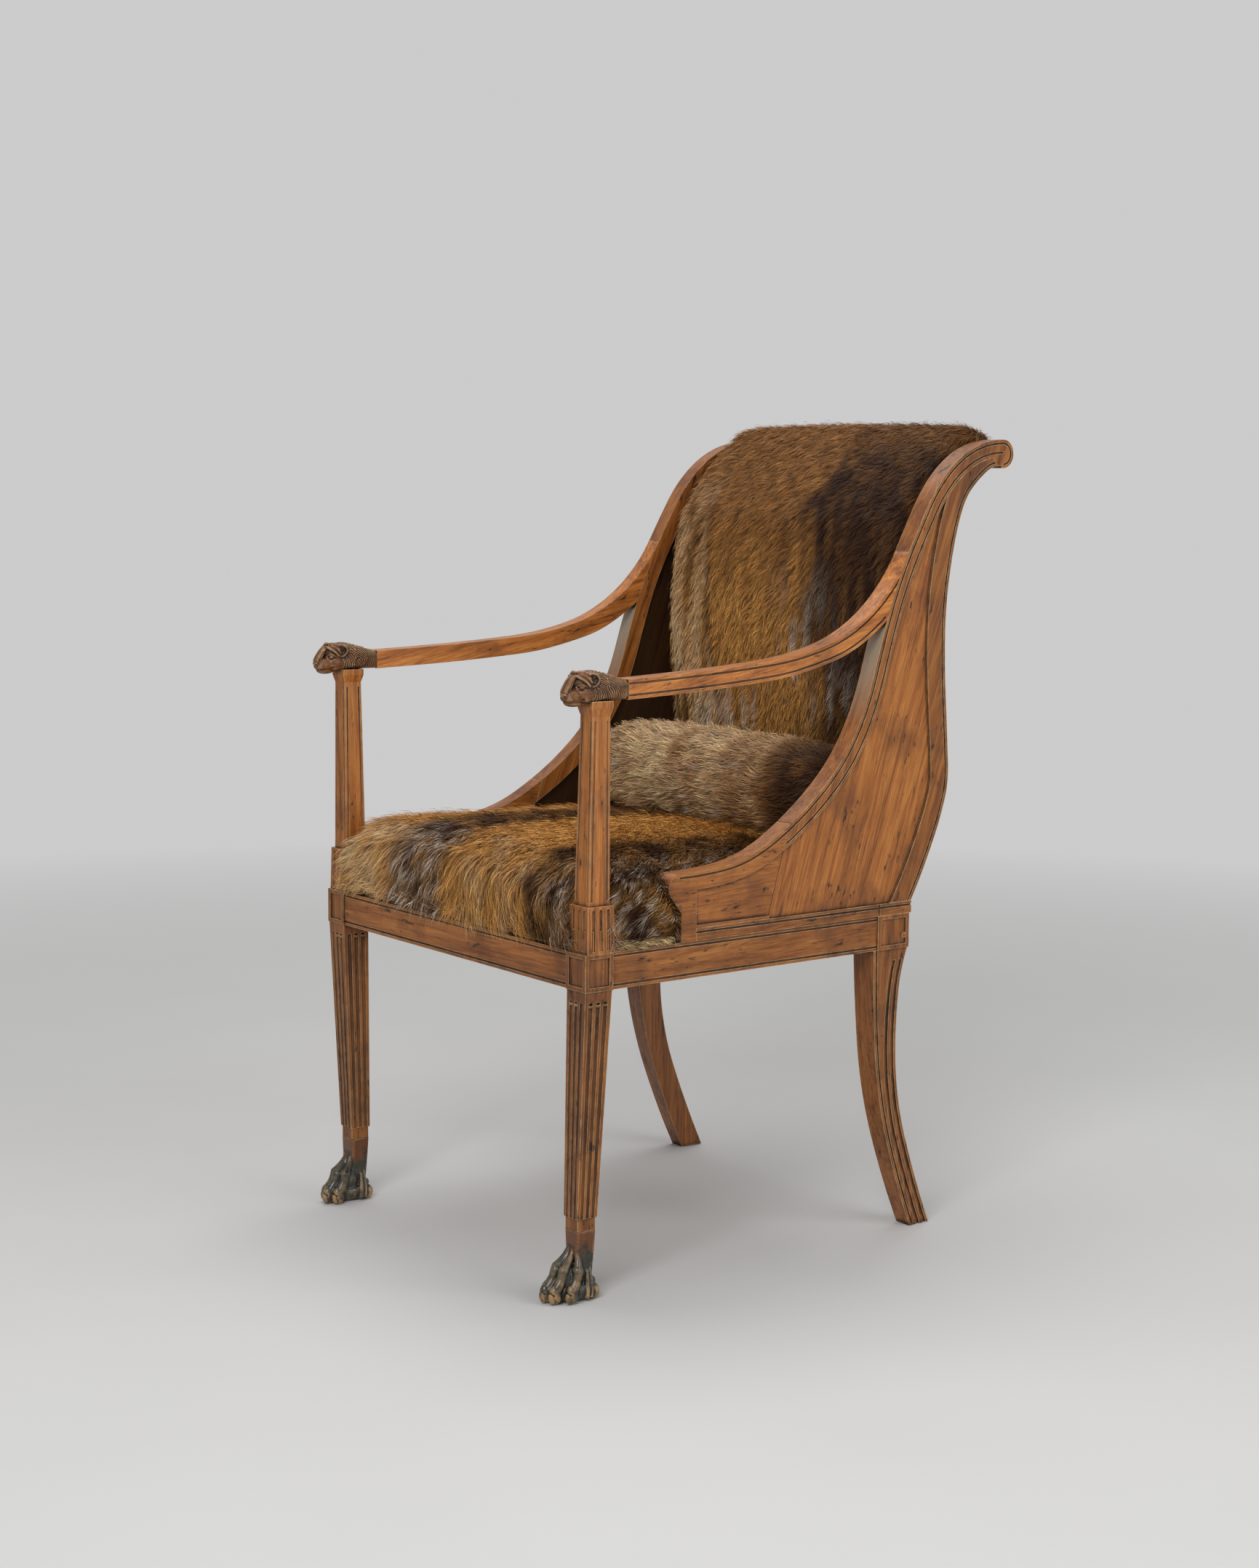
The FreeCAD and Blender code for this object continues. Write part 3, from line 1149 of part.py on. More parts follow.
def back_pad():
    """Stuffed back with a crown across it, drawn in at both edges and rolled over the crest rail."""
    sections = []
    half = inner_x(S.seat_depth + S.scroll_reach, S.side_thick) - S.seat_gap.value * 2
    shift = side_place(1, S.seat_depth, S.side_thick).Base.y - S.seat_depth.value
    for index, share in enumerate((-1.0, -0.9, -0.5, 0.0, 0.5, 0.9, 1.0)):
        draw = S.edge_draw.value if abs(share) == 1.0 else 0.0
        crown = S.back_crown.value * (1 - share * share)
        top = SCROLL_TOP.value + S.back_roll.value * (1 - share * share / 4) - draw
        upright = Placement(vec(share * half, shift, 0), Rotation(Vector(1, 1, 1), 120))
        sections.append(section(f"back_section_{index}", back_outline(crown, top, draw), upright))
    node(loft("back_form", sections), "back_pad")


# Sections of the loose cushion: place across it and fullness, as shares of half its width and its full size
CUSHION_SHAPE = ((-1.0, 0.55), (-0.93, 0.80), (-0.6, 0.96), (0.0, 1.0), (0.6, 0.96), (0.93, 0.80),
                 (1.0, 0.55))


def lumbar_cushion():
    """Loose cushion: crowned on every side and drawn in towards its two ends."""
    middle_z = SEAT_BASE + S.seat_crown + S.cushion_lift + S.cushion_tall / 2
    middle_y = S.seat_depth - S.cushion_setback - S.cushion_deep / 2
    corner = S.cushion_corner.value
    sections = []
    for index, (share, draw) in enumerate(CUSHION_SHAPE):
        deep = S.cushion_deep.value / 2 * draw
        tall = S.cushion_tall.value / 2 * draw
        ring = [(-corner, -corner), (0, -1), (corner, -corner), (1, 0), (corner, corner), (0, 1),
                (-corner, corner), (-1, 0), (-corner, -corner)]
        spots = [vec(middle_y.value + deep * dy, middle_z.value + tall * dz, 0) for dy, dz in ring]
        sides = [spots[first:first + 3] for first in range(0, 8, 2)]
        upright = Placement(vec(share * S.cushion_wide.value / 2, 0, 0), Rotation(Vector(1, 1, 1), 120))
        sections.append(section(f"cushion_section_{index}", closed(sides), upright))
    node(loft("cushion_form", sections), "lumbar_cushion")


def build():
    front_rail()
    tenon = back_rail()
    corner_blocks()
    foot_dowels()
    rear_pegs()
    arm_dowels()
    for label, hand in HANDS:
        side_rail(label, hand)
        front_leg(label, hand)
        paw_foot(label, hand)
        rear_leg(label, hand, tenon)
        arm_post(label, hand)
        arm(label, hand)
        lion_head(label, hand)
        front_stile(label, hand)
        side_panel(label, hand)
        rear_stile(label, hand)
        nose_board(label, hand)
        side_shoe(label, hand)
    crest_rail()
    lower_back_rail()
    seat_webbing()
    seat_cloth()
    seat_pad()
    back_webbing()
    back_cloth()
    outside_back()
    back_pad()
    lumbar_cushion()
    doc.recompute()


def centre_on_floor():
    """Move the chair so that the origin lies under the middle of its whole length."""
    back = (SCROLL_EYE[0] + S.scroll_radius).value * math.cos(math.radians(S.side_angle.value))
    middle = (back - S.paw_reach.value) / 2
    for part in nodes:
        part.Placement = Placement(Vector(0, -middle, 0), Rotation()).multiply(part.Placement)
    doc.recompute()


def write_parts():
    failed = [part.Name for part in doc.Objects if "Invalid" in part.State or "Error" in part.State]
    failed += [part.Label for part in nodes if part.Shape.isNull() or not part.Shape.isValid()]
    if failed:
        raise RuntimeError("failed: " + ", ".join(failed))
    os.makedirs("parts", exist_ok=True)
    for part in nodes:
        part.Shape.exportStep(os.path.join("parts", part.Label + ".step"))
        print(part.Label, len(part.Shape.Solids), "solids", round(part.Shape.Volume / 1000, 1), "cm3")


build()
centre_on_floor()
write_parts()
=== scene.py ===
"""Looks of a fauteuil with scrolled side frames, lion-head arms, fluted legs, paw feet and fur upholstery.

Everything is in metres, in the frame of the solids: +Z up, the sitter faces -Y, the sitter's left is +X.
Carved shapes are written in millimetres, where run is the distance back from the face of the front blocks.
"""
import math

import bpy
import numpy as np
from bpy.props import FloatProperty, FloatVectorProperty, IntProperty, PointerProperty
from mathutils import Matrix, Vector


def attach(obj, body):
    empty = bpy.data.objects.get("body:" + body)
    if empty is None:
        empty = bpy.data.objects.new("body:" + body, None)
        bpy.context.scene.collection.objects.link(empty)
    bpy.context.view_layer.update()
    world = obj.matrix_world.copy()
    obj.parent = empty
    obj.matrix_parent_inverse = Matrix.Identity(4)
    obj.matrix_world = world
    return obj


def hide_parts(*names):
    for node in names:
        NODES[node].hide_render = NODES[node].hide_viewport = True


bl_info = {
    "name": "Fauteuil looks",
    "version": (1, 0, 0),
    "blender": (4, 5, 0),
    "location": "3D View > Sidebar > Fauteuil",
    "description": "Dresses a carved armchair with worn walnut, patinated paws and fur",
    "category": "Object",
}

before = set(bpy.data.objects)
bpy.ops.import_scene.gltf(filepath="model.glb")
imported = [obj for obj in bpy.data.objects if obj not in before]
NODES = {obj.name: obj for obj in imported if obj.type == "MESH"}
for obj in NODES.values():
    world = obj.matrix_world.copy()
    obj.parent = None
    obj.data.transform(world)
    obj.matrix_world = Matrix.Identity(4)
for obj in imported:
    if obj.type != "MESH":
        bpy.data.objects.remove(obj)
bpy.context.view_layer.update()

# Places that the carved pieces share with the solids, in millimetres and degrees
FRONT_BLOCK_Y = -293.39
HALF_WIDTH = 270.0
SIDE_ANGLE = math.radians(2.75)
ARM_TOP = 664.0
POST_RUN = 20.5
ARM_INWARD = 12.2
FOOT_X = 238.0
HANDS = (("left", 1), ("right", -1))
SEED = 1805


def colour_prop(label, words, value):
    return FloatVectorProperty(name=label, description=words, subtype="COLOR", size=3, min=0, max=1,
                               default=value)


def length_prop(label, words, value):
    return FloatProperty(name=label, description=words, subtype="DISTANCE", unit="LENGTH", min=0,
                         default=value)


class WoodSettings(bpy.types.PropertyGroup):
    """Colours of the walnut and of its rubbing and soiling, with painted highlights on the edges and painted
    shade in grooves and corners.
    """
    light: colour_prop("Light wood", "Lightest fibres of the walnut", (0.50, 0.195, 0.042))
    middle: colour_prop("Middle wood", "Main colour of the walnut", (0.30, 0.097, 0.017))
    dark: colour_prop("Dark wood", "Darkest fibres of the walnut", (0.085, 0.024, 0.006))
    # Pale cream of edges, beads and carved ridges: rubbed wood, and a painted highlight.
    worn_and_highlight: colour_prop("Worn edge", "Rubbed edges and beads", (0.66, 0.45, 0.23))
    bleached: colour_prop("Bleached wood", "Dry grey wood under the arms", (0.40, 0.35, 0.26))
    # Near black: old wax and soiling, and painted shade in grooves, corners and carved hollows; also the dark
    # specks and the dark inner face.
    grime_and_shade: colour_prop("Grime", "Old wax and dirt in the grooves", (0.009, 0.005, 0.003))
    edge_reach: length_prop("Edge reach", "How far the rubbing runs in from an edge", 0.0012)
    # How far the soiling and painted shade run out of a corner.
    grime_and_shade_reach: length_prop("Grime reach", "How far the dirt runs out of a corner", 0.007)
    edge_round: length_prop("Edge rounding", "Radius to which edges look rounded", 0.0009)


class CarvingSettings(bpy.types.PropertyGroup):
    """Fineness of the carved heads and feet, and the colours of the patina."""
    grain: length_prop("Carving grain", "Size of the facets of a carved surface", 0.0005)
    patina: colour_prop("Patina", "Dark green paint left on the paws", (0.022, 0.022, 0.014))
    patina_worn: colour_prop("Rubbed patina", "Bare wood where the paint is rubbed off", (0.42, 0.24, 0.095))


class FurSettings(bpy.types.PropertyGroup):
    """Hair of the pelts: colours, length and number."""
    gold: colour_prop("Gold", "Golden-brown hair", (0.62, 0.305, 0.080))
    brown: colour_prop("Brown", "Middle brown hair", (0.27, 0.115, 0.033))
    dark: colour_prop("Dark", "Darkest brown hair", (0.042, 0.015, 0.006))
    silver: colour_prop("Silver", "Grey guard hair", (0.74, 0.60, 0.47))
    beige: colour_prop("Beige", "Pale hair of the loose cushion", (0.82, 0.56, 0.31))
    straw: colour_prop("Straw", "Stuffing that shows at the side rail", (0.60, 0.42, 0.21))
    hair_long: length_prop("Hair length", "Middle length of a hair", 0.015)
    hair_wide: length_prop("Hair width", "Width of a lock at its root", 0.00062)
    seat_hairs: IntProperty(name="Seat hairs", description="Locks on the seat", min=0, default=150000)
    back_hairs: IntProperty(name="Back hairs", description="Locks on the back", min=0, default=150000)
    cushion_hairs: IntProperty(name="Cushion hairs", description="Locks on the loose cushion", min=0,
                               default=70000)
    straws: IntProperty(name="Straws", description="Fibres of stuffing at the side rail", min=0, default=2600)
    swell: length_prop("Swell", "Most that stuffing may lift the cover", 0.005)


class StageSettings(bpy.types.PropertyGroup):
    """Floor, lamps and camera."""
    floor: colour_prop("Floor", "Pale studio floor", (0.72, 0.72, 0.72))
    backdrop: colour_prop("Backdrop", "Pale tone behind the chair", (0.60, 0.60, 0.60))
    key: FloatProperty(name="Key lamp", description="Power of the main lamp", subtype="POWER", default=60)
    fill: FloatProperty(name="Fill lamp", description="Power of the fill lamp", subtype="POWER", default=30)
    top: FloatProperty(name="Top lamp", description="Power of the overhead lamp", subtype="POWER", default=34)
    lens: FloatProperty(name="Lens", description="Focal length of the camera", unit="CAMERA", default=60.586)


# Node helpers


class Nodes:
    """Adds nodes to a tree."""

    def __init__(self, tree):
        self.tree = tree

    def feed(self, socket, value):
        """Link a socket, or set its constant."""
        if isinstance(value, bpy.types.NodeSocket):
            self.tree.links.new(value, socket)
        else:
            socket.default_value = value

    def add(self, kind, inputs, **settings):
        made = self.tree.nodes.new("ShaderNode" + kind)
        for name, value in settings.items():
            setattr(made, name, value)
        for socket, value in inputs.items():
            self.feed(made.inputs[socket], value)
        return made

    def math(self, kind, one, other):
        return self.add("Math", {0: one, 1: other}, operation=kind).outputs[0]

    def end(self, name, share, one, other):
        """Send a mix of two shaders to the output of the tree."""
        mixed = self.add("MixShader", {0: share, 1: one, 2: other}).outputs[0]
        self.tree.links.new(mixed, self.tree.nodes[name].inputs[0])


class Finish(Nodes):
    """Builds the nodes of one material."""

    def __init__(self, name):
        self.material = bpy.data.materials.new(name)
        self.material.use_nodes = True
        super().__init__(self.material.node_tree)
        self.surface = self.tree.nodes["Principled BSDF"]

    def coords(self, turn=(0, 0, 0), stretch=(1, 1, 1)):
        """Object coordinates in axes turned by Euler angles, drawn out by a stretch along each."""
        base = self.add("TexCoord", {}).outputs["Object"]
        places = {"Vector": base, "Rotation": turn, "Scale": stretch}
        return self.add("Mapping", places, vector_type="TEXTURE").outputs[0]

    def noise(self, coords, scale, detail=3, roughness=0.5, distortion=0):
        made = self.add("TexNoise", {"Vector": coords, "Scale": scale, "Detail": detail,
                                     "Roughness": roughness, "Distortion": distortion})
        return made.outputs[0]

    def span(self, value, low, high, to_low=0, to_high=1):
        """A value carried from one range to another, held at the ends."""
        return self.add("MapRange", {0: value, 1: low, 2: high, 3: to_low, 4: to_high}).outputs[0]

    def times(self, one, other):
        return self.math("MULTIPLY", one, other)

    def dot(self, vector, direction):
        return self.add("VectorMath", {0: vector, 1: direction}, operation="DOT_PRODUCT").outputs["Value"]

    def stored(self, name, output):
        """A value that the piece keeps at its points."""
        return self.add("Attribute", {}, attribute_name=name).outputs[output]

    def bump(self, strength, distance, height, **inputs):
        made = self.add("Bump", {"Strength": strength, "Distance": distance, "Height": height, **inputs})
        return made.outputs[0]

    def ramp(self, value, stops):
        made = self.add("ValToRGB", {0: value})
        elements = made.color_ramp.elements
        while len(elements) < len(stops):
            elements.new(0.5)
        for element, (place, colour) in zip(elements, stops):
            element.position = place
            element.color = (*colour, 1)
        return made.outputs[0]

    def mix(self, share, one, other):
        made = self.add("Mix", {0: share}, data_type="RGBA")
        for socket, value in ((made.inputs[6], one), (made.inputs[7], other)):
            self.feed(socket, value if isinstance(value, bpy.types.NodeSocket) else (*value, 1))
        return made.outputs[2]

    def occlusion(self, reach, inside, own):
        """How open a point is: outside for corners, inside for edges."""
        made = self.add("AmbientOcclusion", {"Distance": reach}, inside=inside, only_local=own, samples=6)
        return made.outputs["AO"]

    def done(self, **sockets):
        for name, value in sockets.items():
            self.feed(self.surface.inputs[name.replace("_", " ")], value)
        return self.material


def grain_turn(direction):
    """Euler angles that carry the Z axis to a direction."""
    return Vector((0, 0, 1)).rotation_difference(Vector(direction)).to_euler()


def walnut(name, direction, shade=1.0, wear_and_highlight=1.0, carved=False, pale_edges_below=None, bleached=False,
           dark_inside=False):
    """Worn walnut: long fibres and broad figure along a direction, stains, edges rubbed pale with a painted
    highlight, and grooves and corners darkened by soiling and painted shade.

    A carved piece tells its ridges and hollows by its own relief attribute.  The pale rubbing and its painted
    highlight can stop at a height, the front face of a stile can be bleached under the arm, and an inner face
    made near black.
    """
    wood = bpy.context.scene.fauteuil_wood
    finish = Finish(name)
    turn = grain_turn(direction)
    along = finish.coords(turn, (1, 1, 22))
    plain = finish.coords()
    fibre = finish.noise(along, 520, 5, 0.62, 0.6)
    figure = finish.noise(along, 95, 5, 0.6, 0.9)
    blotch = finish.noise(plain, 13, 4, 0.6)
    speck = finish.noise(finish.coords(turn, (1, 1, 3)), 150, 3, 0.6)
    fine, broad = finish.span(fibre, 0.25, 0.75, 0, 0.45), finish.span(figure, 0.25, 0.75, 0, 0.55)
    tone = finish.math("ADD", fine, broad)
    tones = (wood.light, wood.middle, wood.dark)
    # shade scales all colours of a piece: its tone together with painted light and painted shade.
    light, middle, dark = [[shade * part for part in colour] for colour in tones]
    colour = finish.ramp(tone, ((0.18, dark), (0.47, middle), (0.82, light)))
    stain = finish.span(blotch, 0.50, 0.66, 0, 0.55)
    colour = finish.mix(stain, colour, dark)
    spots = finish.times(finish.span(speck, 0.62, 0.67), finish.span(blotch, 0.40, 0.54))
    colour = finish.mix(finish.times(spots, 0.85), colour, wood.grime_and_shade)
    # Ambient occlusion darkens grooves, corners and joints: painted shade, with soiling.
    corner = finish.occlusion(wood.grime_and_shade_reach, False, False)
    uneven = finish.span(figure, 0.3, 0.7, -0.08, 0.08)
    dirt_and_shade = finish.span(finish.math("ADD", corner, uneven), 0.5, 0.9, 0.97, 0)
    broken = finish.span(finish.noise(plain, 85, 4, 0.65), 0.34, 0.62, 0.15, 1)
    if carved:
        # On a carving the hollows darken instead: painted shade, with soiling.
        height = finish.stored("relief", "Fac")
        dirt_and_shade = finish.math("MAXIMUM", dirt_and_shade, finish.span(height, 0.05, -0.65, 0, 0.92))
        edge = finish.span(height, 0.25, 0.95, 0, 0.62 * wear_and_highlight)
    else:
        edge = finish.span(finish.occlusion(wood.edge_reach, True, True), 0.9, 0.6, 0, 0.75 * wear_and_highlight)
    sideways, _, level = finish.add("SeparateXYZ", {0: plain}).outputs
    normal = finish.add("NewGeometry", {}).outputs["Normal"]
    # Faces turned inward, towards the middle of the chair, go near black.
    if dark_inside:
        turned = finish.times(sideways, finish.add("SeparateXYZ", {0: normal}).outputs[0])
        colour = finish.mix(finish.span(turned, -0.1, -0.15, 0, 0.92), colour, wood.grime_and_shade)
    if bleached:
        facing = finish.dot(normal, (0, -0.93, 0.37))
        pale = finish.times(finish.span(facing, 0.7, 0.9), finish.span(level, 0.60, 0.69))
        pale = finish.times(pale, finish.span(level, 0.765, 0.74, 0, 0.85))
        colour = finish.mix(pale, colour, wood.bleached)
    colour = finish.mix(dirt_and_shade, colour, wood.grime_and_shade)
    # Edges, beads and carved ridges go pale: rubbed wood, and a painted highlight along them.
    rub = finish.times(edge, broken)
    if pale_edges_below:
        rub = finish.times(rub, finish.span(level, pale_edges_below, pale_edges_below - 0.03))
    colour = finish.mix(rub, colour, wood.worn_and_highlight)
    rough = finish.math("ADD", finish.span(blotch, 0.3, 0.7, 0.34, 0.52), finish.span(dirt_and_shade, 0, 1, 0, 0.25))
    rounded = finish.add("Bevel", {"Radius": wood.edge_round}, samples=4).outputs[0]
    relief = finish.math("ADD", fibre, finish.span(speck, 0.6, 0.75, 0, -1.2))
    bump = finish.bump(0.22, 0.0006, relief, Normal=rounded)
    return finish.done(Base_Color=colour, Roughness=rough, Normal=bump, Specular_IOR_Level=0.36,
                       Coat_Weight=0.08, Coat_Roughness=0.25)


def raw_timber(name, direction):
    """Unfinished pale timber with soft fibres."""
    finish = Finish(name)
    along = finish.coords(grain_turn(direction), (1, 1, 20))
    fibre = finish.noise(along, 300, 4, 0.6, 0.5)
    stain = finish.noise(finish.coords(), 9, 3)
    colour = finish.ramp(fibre, ((0.3, (0.15, 0.075, 0.028)), (0.7, (0.30, 0.160, 0.066))))
    colour = finish.mix(finish.span(stain, 0.45, 0.75, 0, 0.7), colour, (0.075, 0.037, 0.015))
    return finish.done(Base_Color=colour, Roughness=0.72, Normal=finish.bump(0.3, 0.0008, fibre))


def woven(name, light, dark, threads, across=(1, 0, 0), up=(0, 1, 0)):
    """Plain weave: two crossed sets of waves, each thread over and under the next, with slubs."""
    finish = Finish(name)
    plain = finish.coords()
    waves = []
    for direction in (across, up):
        turns = finish.times(finish.dot(plain, direction), threads * math.pi)
        waves.append(finish.math("SINE", turns, 0))
    crossing = finish.times(waves[0], waves[1])
    slub = finish.noise(plain, 420, 3, 0.6)
    height = finish.math("ADD", finish.span(crossing, -1, 1), finish.span(slub, 0.3, 0.7, -0.3, 0.3))
    colour = finish.ramp(height, ((0.15, dark), (0.8, light)))
    stain = finish.noise(plain, 12, 3)
    colour = finish.mix(finish.span(stain, 0.5, 0.75, 0, 0.5), colour, dark)
    bump = finish.bump(0.6, 0.0012, height)
    return finish.done(Base_Color=colour, Roughness=0.9, Normal=bump, Specular_IOR_Level=0.2)


def patina(name):
    """Old dark green paint over carved wood, rubbed to bare wood on the high places and above the ankle, with
    the hollows darkened by soiling and painted shade.
    """
    carving = bpy.context.scene.fauteuil_carving
    wood = bpy.context.scene.fauteuil_wood
    finish = Finish(name)
    plain = finish.coords()
    fibre = finish.noise(finish.coords(stretch=(1, 1, 16)), 480, 4, 0.6, 0.5)
    cloud = finish.noise(plain, 70, 4, 0.6)
    bare = finish.ramp(fibre, ((0.3, list(wood.dark)), (0.7, [0.62 * part for part in wood.middle])))
    height = finish.add("SeparateXYZ", {0: plain}).outputs[2]
    level = finish.math("ADD", height, finish.span(cloud, 0.3, 0.7, -0.014, 0.014))
    paint = finish.span(level, 0.047, 0.06, 1, 0)
    green = finish.ramp(cloud, ((0.35, list(carving.patina)), (0.7, (0.05, 0.052, 0.033))))
    colour = finish.mix(paint, bare, green)
    relief = finish.stored("relief", "Fac")
    rub = finish.times(finish.span(relief, 0.35, 1.0), finish.span(cloud, 0.40, 0.58, 0.1, 1))
    rub = finish.times(rub, finish.span(height, 0.030, 0.012, 0.3, 0.9))
    colour = finish.mix(rub, colour, list(carving.patina_worn))
    # The hollows of the relief go near black: painted shade, with soiling.
    hollow = finish.span(relief, -0.05, -0.7, 0, 0.92)
    colour = finish.mix(hollow, colour, list(wood.grime_and_shade))
    bump = finish.bump(0.35, 0.0008, cloud)
    rough = finish.span(cloud, 0.3, 0.7, 0.2, 0.4)
    return finish.done(Base_Color=colour, Roughness=rough, Normal=bump, Specular_IOR_Level=0.55)


def pelt_finish(name, rough):
    """Hair that takes its colour from the piece's own colour attribute."""
    finish = Finish(name)
    return finish.done(Base_Color=finish.stored("pelt", "Color"), Roughness=rough, Specular_IOR_Level=0.14)


# Surfaces as arrays


def skin(rings):
    """A closed shell through rings of points: quads between rings, a fan of triangles at each end."""
    rows, cols = rings.shape[:2]
    points = np.concatenate([rings.reshape(-1, 3), rings[:1].mean(1), rings[-1:].mean(1)])
    index = np.arange(rows * cols).reshape(rows, cols)
    beside = np.roll(index, -1, 1)
    quads = np.stack([index[:-1], beside[:-1], beside[1:], index[1:]], -1).reshape(-1, 4)
    low, high = rows * cols, rows * cols + 1
    first = np.stack([beside[0], index[0], np.full(cols, low)], -1)
    last = np.stack([index[-1], beside[-1], np.full(cols, high)], -1)
    caps = np.concatenate([first, last])
    corner = points[quads[:, 0]]
    volume = np.einsum("ij,ij->", corner, np.cross(points[quads[:, 1]], points[quads[:, 2]])
                       + np.cross(points[quads[:, 2]], points[quads[:, 3]]))
    if volume < 0:
        quads, caps = quads[:, ::-1], caps[:, ::-1]
    return points, quads, caps


def egg(centre, half, tilt=0):
    """An ellipsoid: circles of latitude scaled by three half sizes, tilted about X by an angle in degrees."""
    latitude = np.linspace(-np.pi / 2, np.pi / 2, 16)[1:-1, None]
    longitude = np.linspace(0, 2 * np.pi, 20, endpoint=False)[None]
    unit = np.stack(np.broadcast_arrays(np.cos(latitude) * np.cos(longitude),
                                        np.cos(latitude) * np.sin(longitude), np.sin(latitude)), -1)
    spin = np.array(Matrix.Rotation(math.radians(tilt), 3, "X"))
    return skin(unit * np.array(half) @ spin.T + np.array(centre))


def smooth_run(points, count):
    """Points on a smooth curve through knots: each stretch a cubic whose slopes match its neighbours."""
    knots = np.array(points, float)
    ends = np.concatenate([2 * knots[:1] - knots[1:2], knots, 2 * knots[-1:] - knots[-2:-1]])
    place = np.linspace(0, len(knots) - 1, count)
    stretch = np.minimum(place.astype(int), len(knots) - 2)
    t = (place - stretch)[:, None]
    a, b, c, d = (ends[stretch + shift] for shift in range(4))
    square, cube = 2 * a - 5 * b + 4 * c - d, 3 * b - a - 3 * c + d
    return 0.5 * (2 * b + (c - a) * t + square * t ** 2 + cube * t ** 3)


def strand(points, radii, count=24, sides=10):
    """A round bar along a smooth curve, its radius running smoothly through the given radii."""
    line = smooth_run(points, count)
    size = np.interp(np.linspace(0, 1, count), np.linspace(0, 1, len(radii)), radii)[:, None, None]
    ahead = np.gradient(line, axis=0)
    ahead /= np.linalg.norm(ahead, axis=1, keepdims=True)
    side = np.cross(ahead, (0.31, 0.17, 0.94))
    side /= np.linalg.norm(side, axis=1, keepdims=True)
    over = np.cross(side, ahead)
    angle = np.linspace(0, 2 * np.pi, sides, endpoint=False)[None, :, None]
    return skin(line[:, None] + size * (np.cos(angle) * side[:, None] + np.sin(angle) * over[:, None]))


def joined(shells):
    """Several shells as one set of points, quads and triangles."""
    starts = np.cumsum([0] + [len(points) for points, _, _ in shells[:-1]])
    points = np.concatenate([shell[0] for shell in shells])
    quads = np.concatenate([shell[1] + start for shell, start in zip(shells, starts)])
    caps = np.concatenate([shell[2] + start for shell, start in zip(shells, starts)])
    return points, quads, caps


NO_QUADS = np.zeros((0, 4), int)


def make_mesh(name, points, quads, caps):
    """A mesh from arrays of points, quads and triangles."""
    mesh = bpy.data.meshes.new(name)
    corners = np.concatenate([np.ravel(quads), np.ravel(caps)]).astype(np.int32)
    starts = np.concatenate([np.arange(len(quads)) * 4, len(quads) * 4 + np.arange(len(caps)) * 3])
    mesh.vertices.add(len(points))
    mesh.vertices.foreach_set("co", np.ravel(points).astype(np.float32))
    mesh.loops.add(len(corners))
    mesh.loops.foreach_set("vertex_index", corners)
    mesh.polygons.add(len(starts))
    mesh.polygons.foreach_set("loop_start", starts.astype(np.int32))
    mesh.update(calc_edges=True)
    mesh.validate()
    mesh.shade_smooth()
    return mesh


def make_piece(name, mesh, material, body, slot, *nodes):
    """Put a finished mesh into the scene as a piece that rides on a body and stands for some solids."""
    piece = bpy.data.objects.new(name, mesh)
    bpy.context.scene.collection.objects.link(piece)
    mesh.materials.append(material)
    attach(piece, body)
    if nodes:
        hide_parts(*nodes)
    return piece


def read_mesh(mesh):
    """Points and triangles of a mesh as arrays."""
    mesh.calc_loop_triangles()
    points = np.empty(len(mesh.vertices) * 3, np.float32)
    mesh.vertices.foreach_get("co", points)
    faces = np.empty(len(mesh.loop_triangles) * 3, np.int32)
    mesh.loop_triangles.foreach_get("vertices", faces)
    return points.reshape(-1, 3).astype(float), faces.reshape(-1, 3)


def one_skin(mesh, voxel):
    """The outer skin of a mesh of overlapping shells, at one even facet size: points and triangles."""
    rough = bpy.data.objects.new("rough_form", mesh)
    bpy.context.scene.collection.objects.link(rough)
    remesh = rough.modifiers.new("skin", "REMESH")
    remesh.mode = "VOXEL"
    remesh.voxel_size = voxel
    skinned = bpy.data.meshes.new_from_object(rough.evaluated_get(bpy.context.evaluated_depsgraph_get()))
    found = read_mesh(skinned)
    bpy.data.objects.remove(rough)
    bpy.data.meshes.remove(skinned)
    return found


def step(values, low, high):
    """A smooth step from 0 to 1."""
    t = np.clip((values - low) / (high - low), 0, 1)
    return t * t * (3 - 2 * t)


def tally(index, values, count):
    """Sum rows of values by index."""
    return np.stack([np.bincount(index, values[:, axis], count) for axis in range(3)], -1)


def relax(points, faces, times, share=0.5):
    """Move each point part of the way to the mean of its neighbours, several times."""
    near = np.ravel(faces)
    ahead = np.ravel(np.roll(faces, -1, 1))
    count = sum(np.bincount(ends, minlength=len(points)) for ends in (near, ahead))[:, None]
    for _ in range(times):
        mean = (tally(near, points[ahead], len(points)) + tally(ahead, points[near], len(points))) / count
        points = points + share * (mean - points)
    return points


def outward(points, faces):
    """Unit normals at the points."""
    a, b, c = (points[faces[:, corner]] for corner in range(3))
    flat = np.cross(b - a, c - a)
    total = sum(tally(faces[:, corner], flat, len(points)) for corner in range(3))
    return total / np.maximum(np.linalg.norm(total, axis=1, keepdims=True), 1e-12)


def scored(points, faces, line, width, depth):
    """Press a groove along a line: a point moves in by depth times a bell curve of its distance."""
    gap = np.full(len(points), np.inf)
    for knot in line:
        gap = np.minimum(gap, np.linalg.norm(points - knot, axis=1))
    return points - outward(points, faces) * (depth * np.exp(-(gap / width) ** 2))[:, None]


def relief(points, faces):
    """How far each point stands out of its softened surroundings: 1 on a carved ridge, -1 in a hollow."""
    fine = np.einsum("ij,ij->i", points - relax(points, faces, 6), outward(points, faces))
    broad = np.einsum("ij,ij->i", points - relax(points, faces, 40), outward(points, faces))
    return np.clip(fine / 0.22 + broad / 0.9, -1, 1)


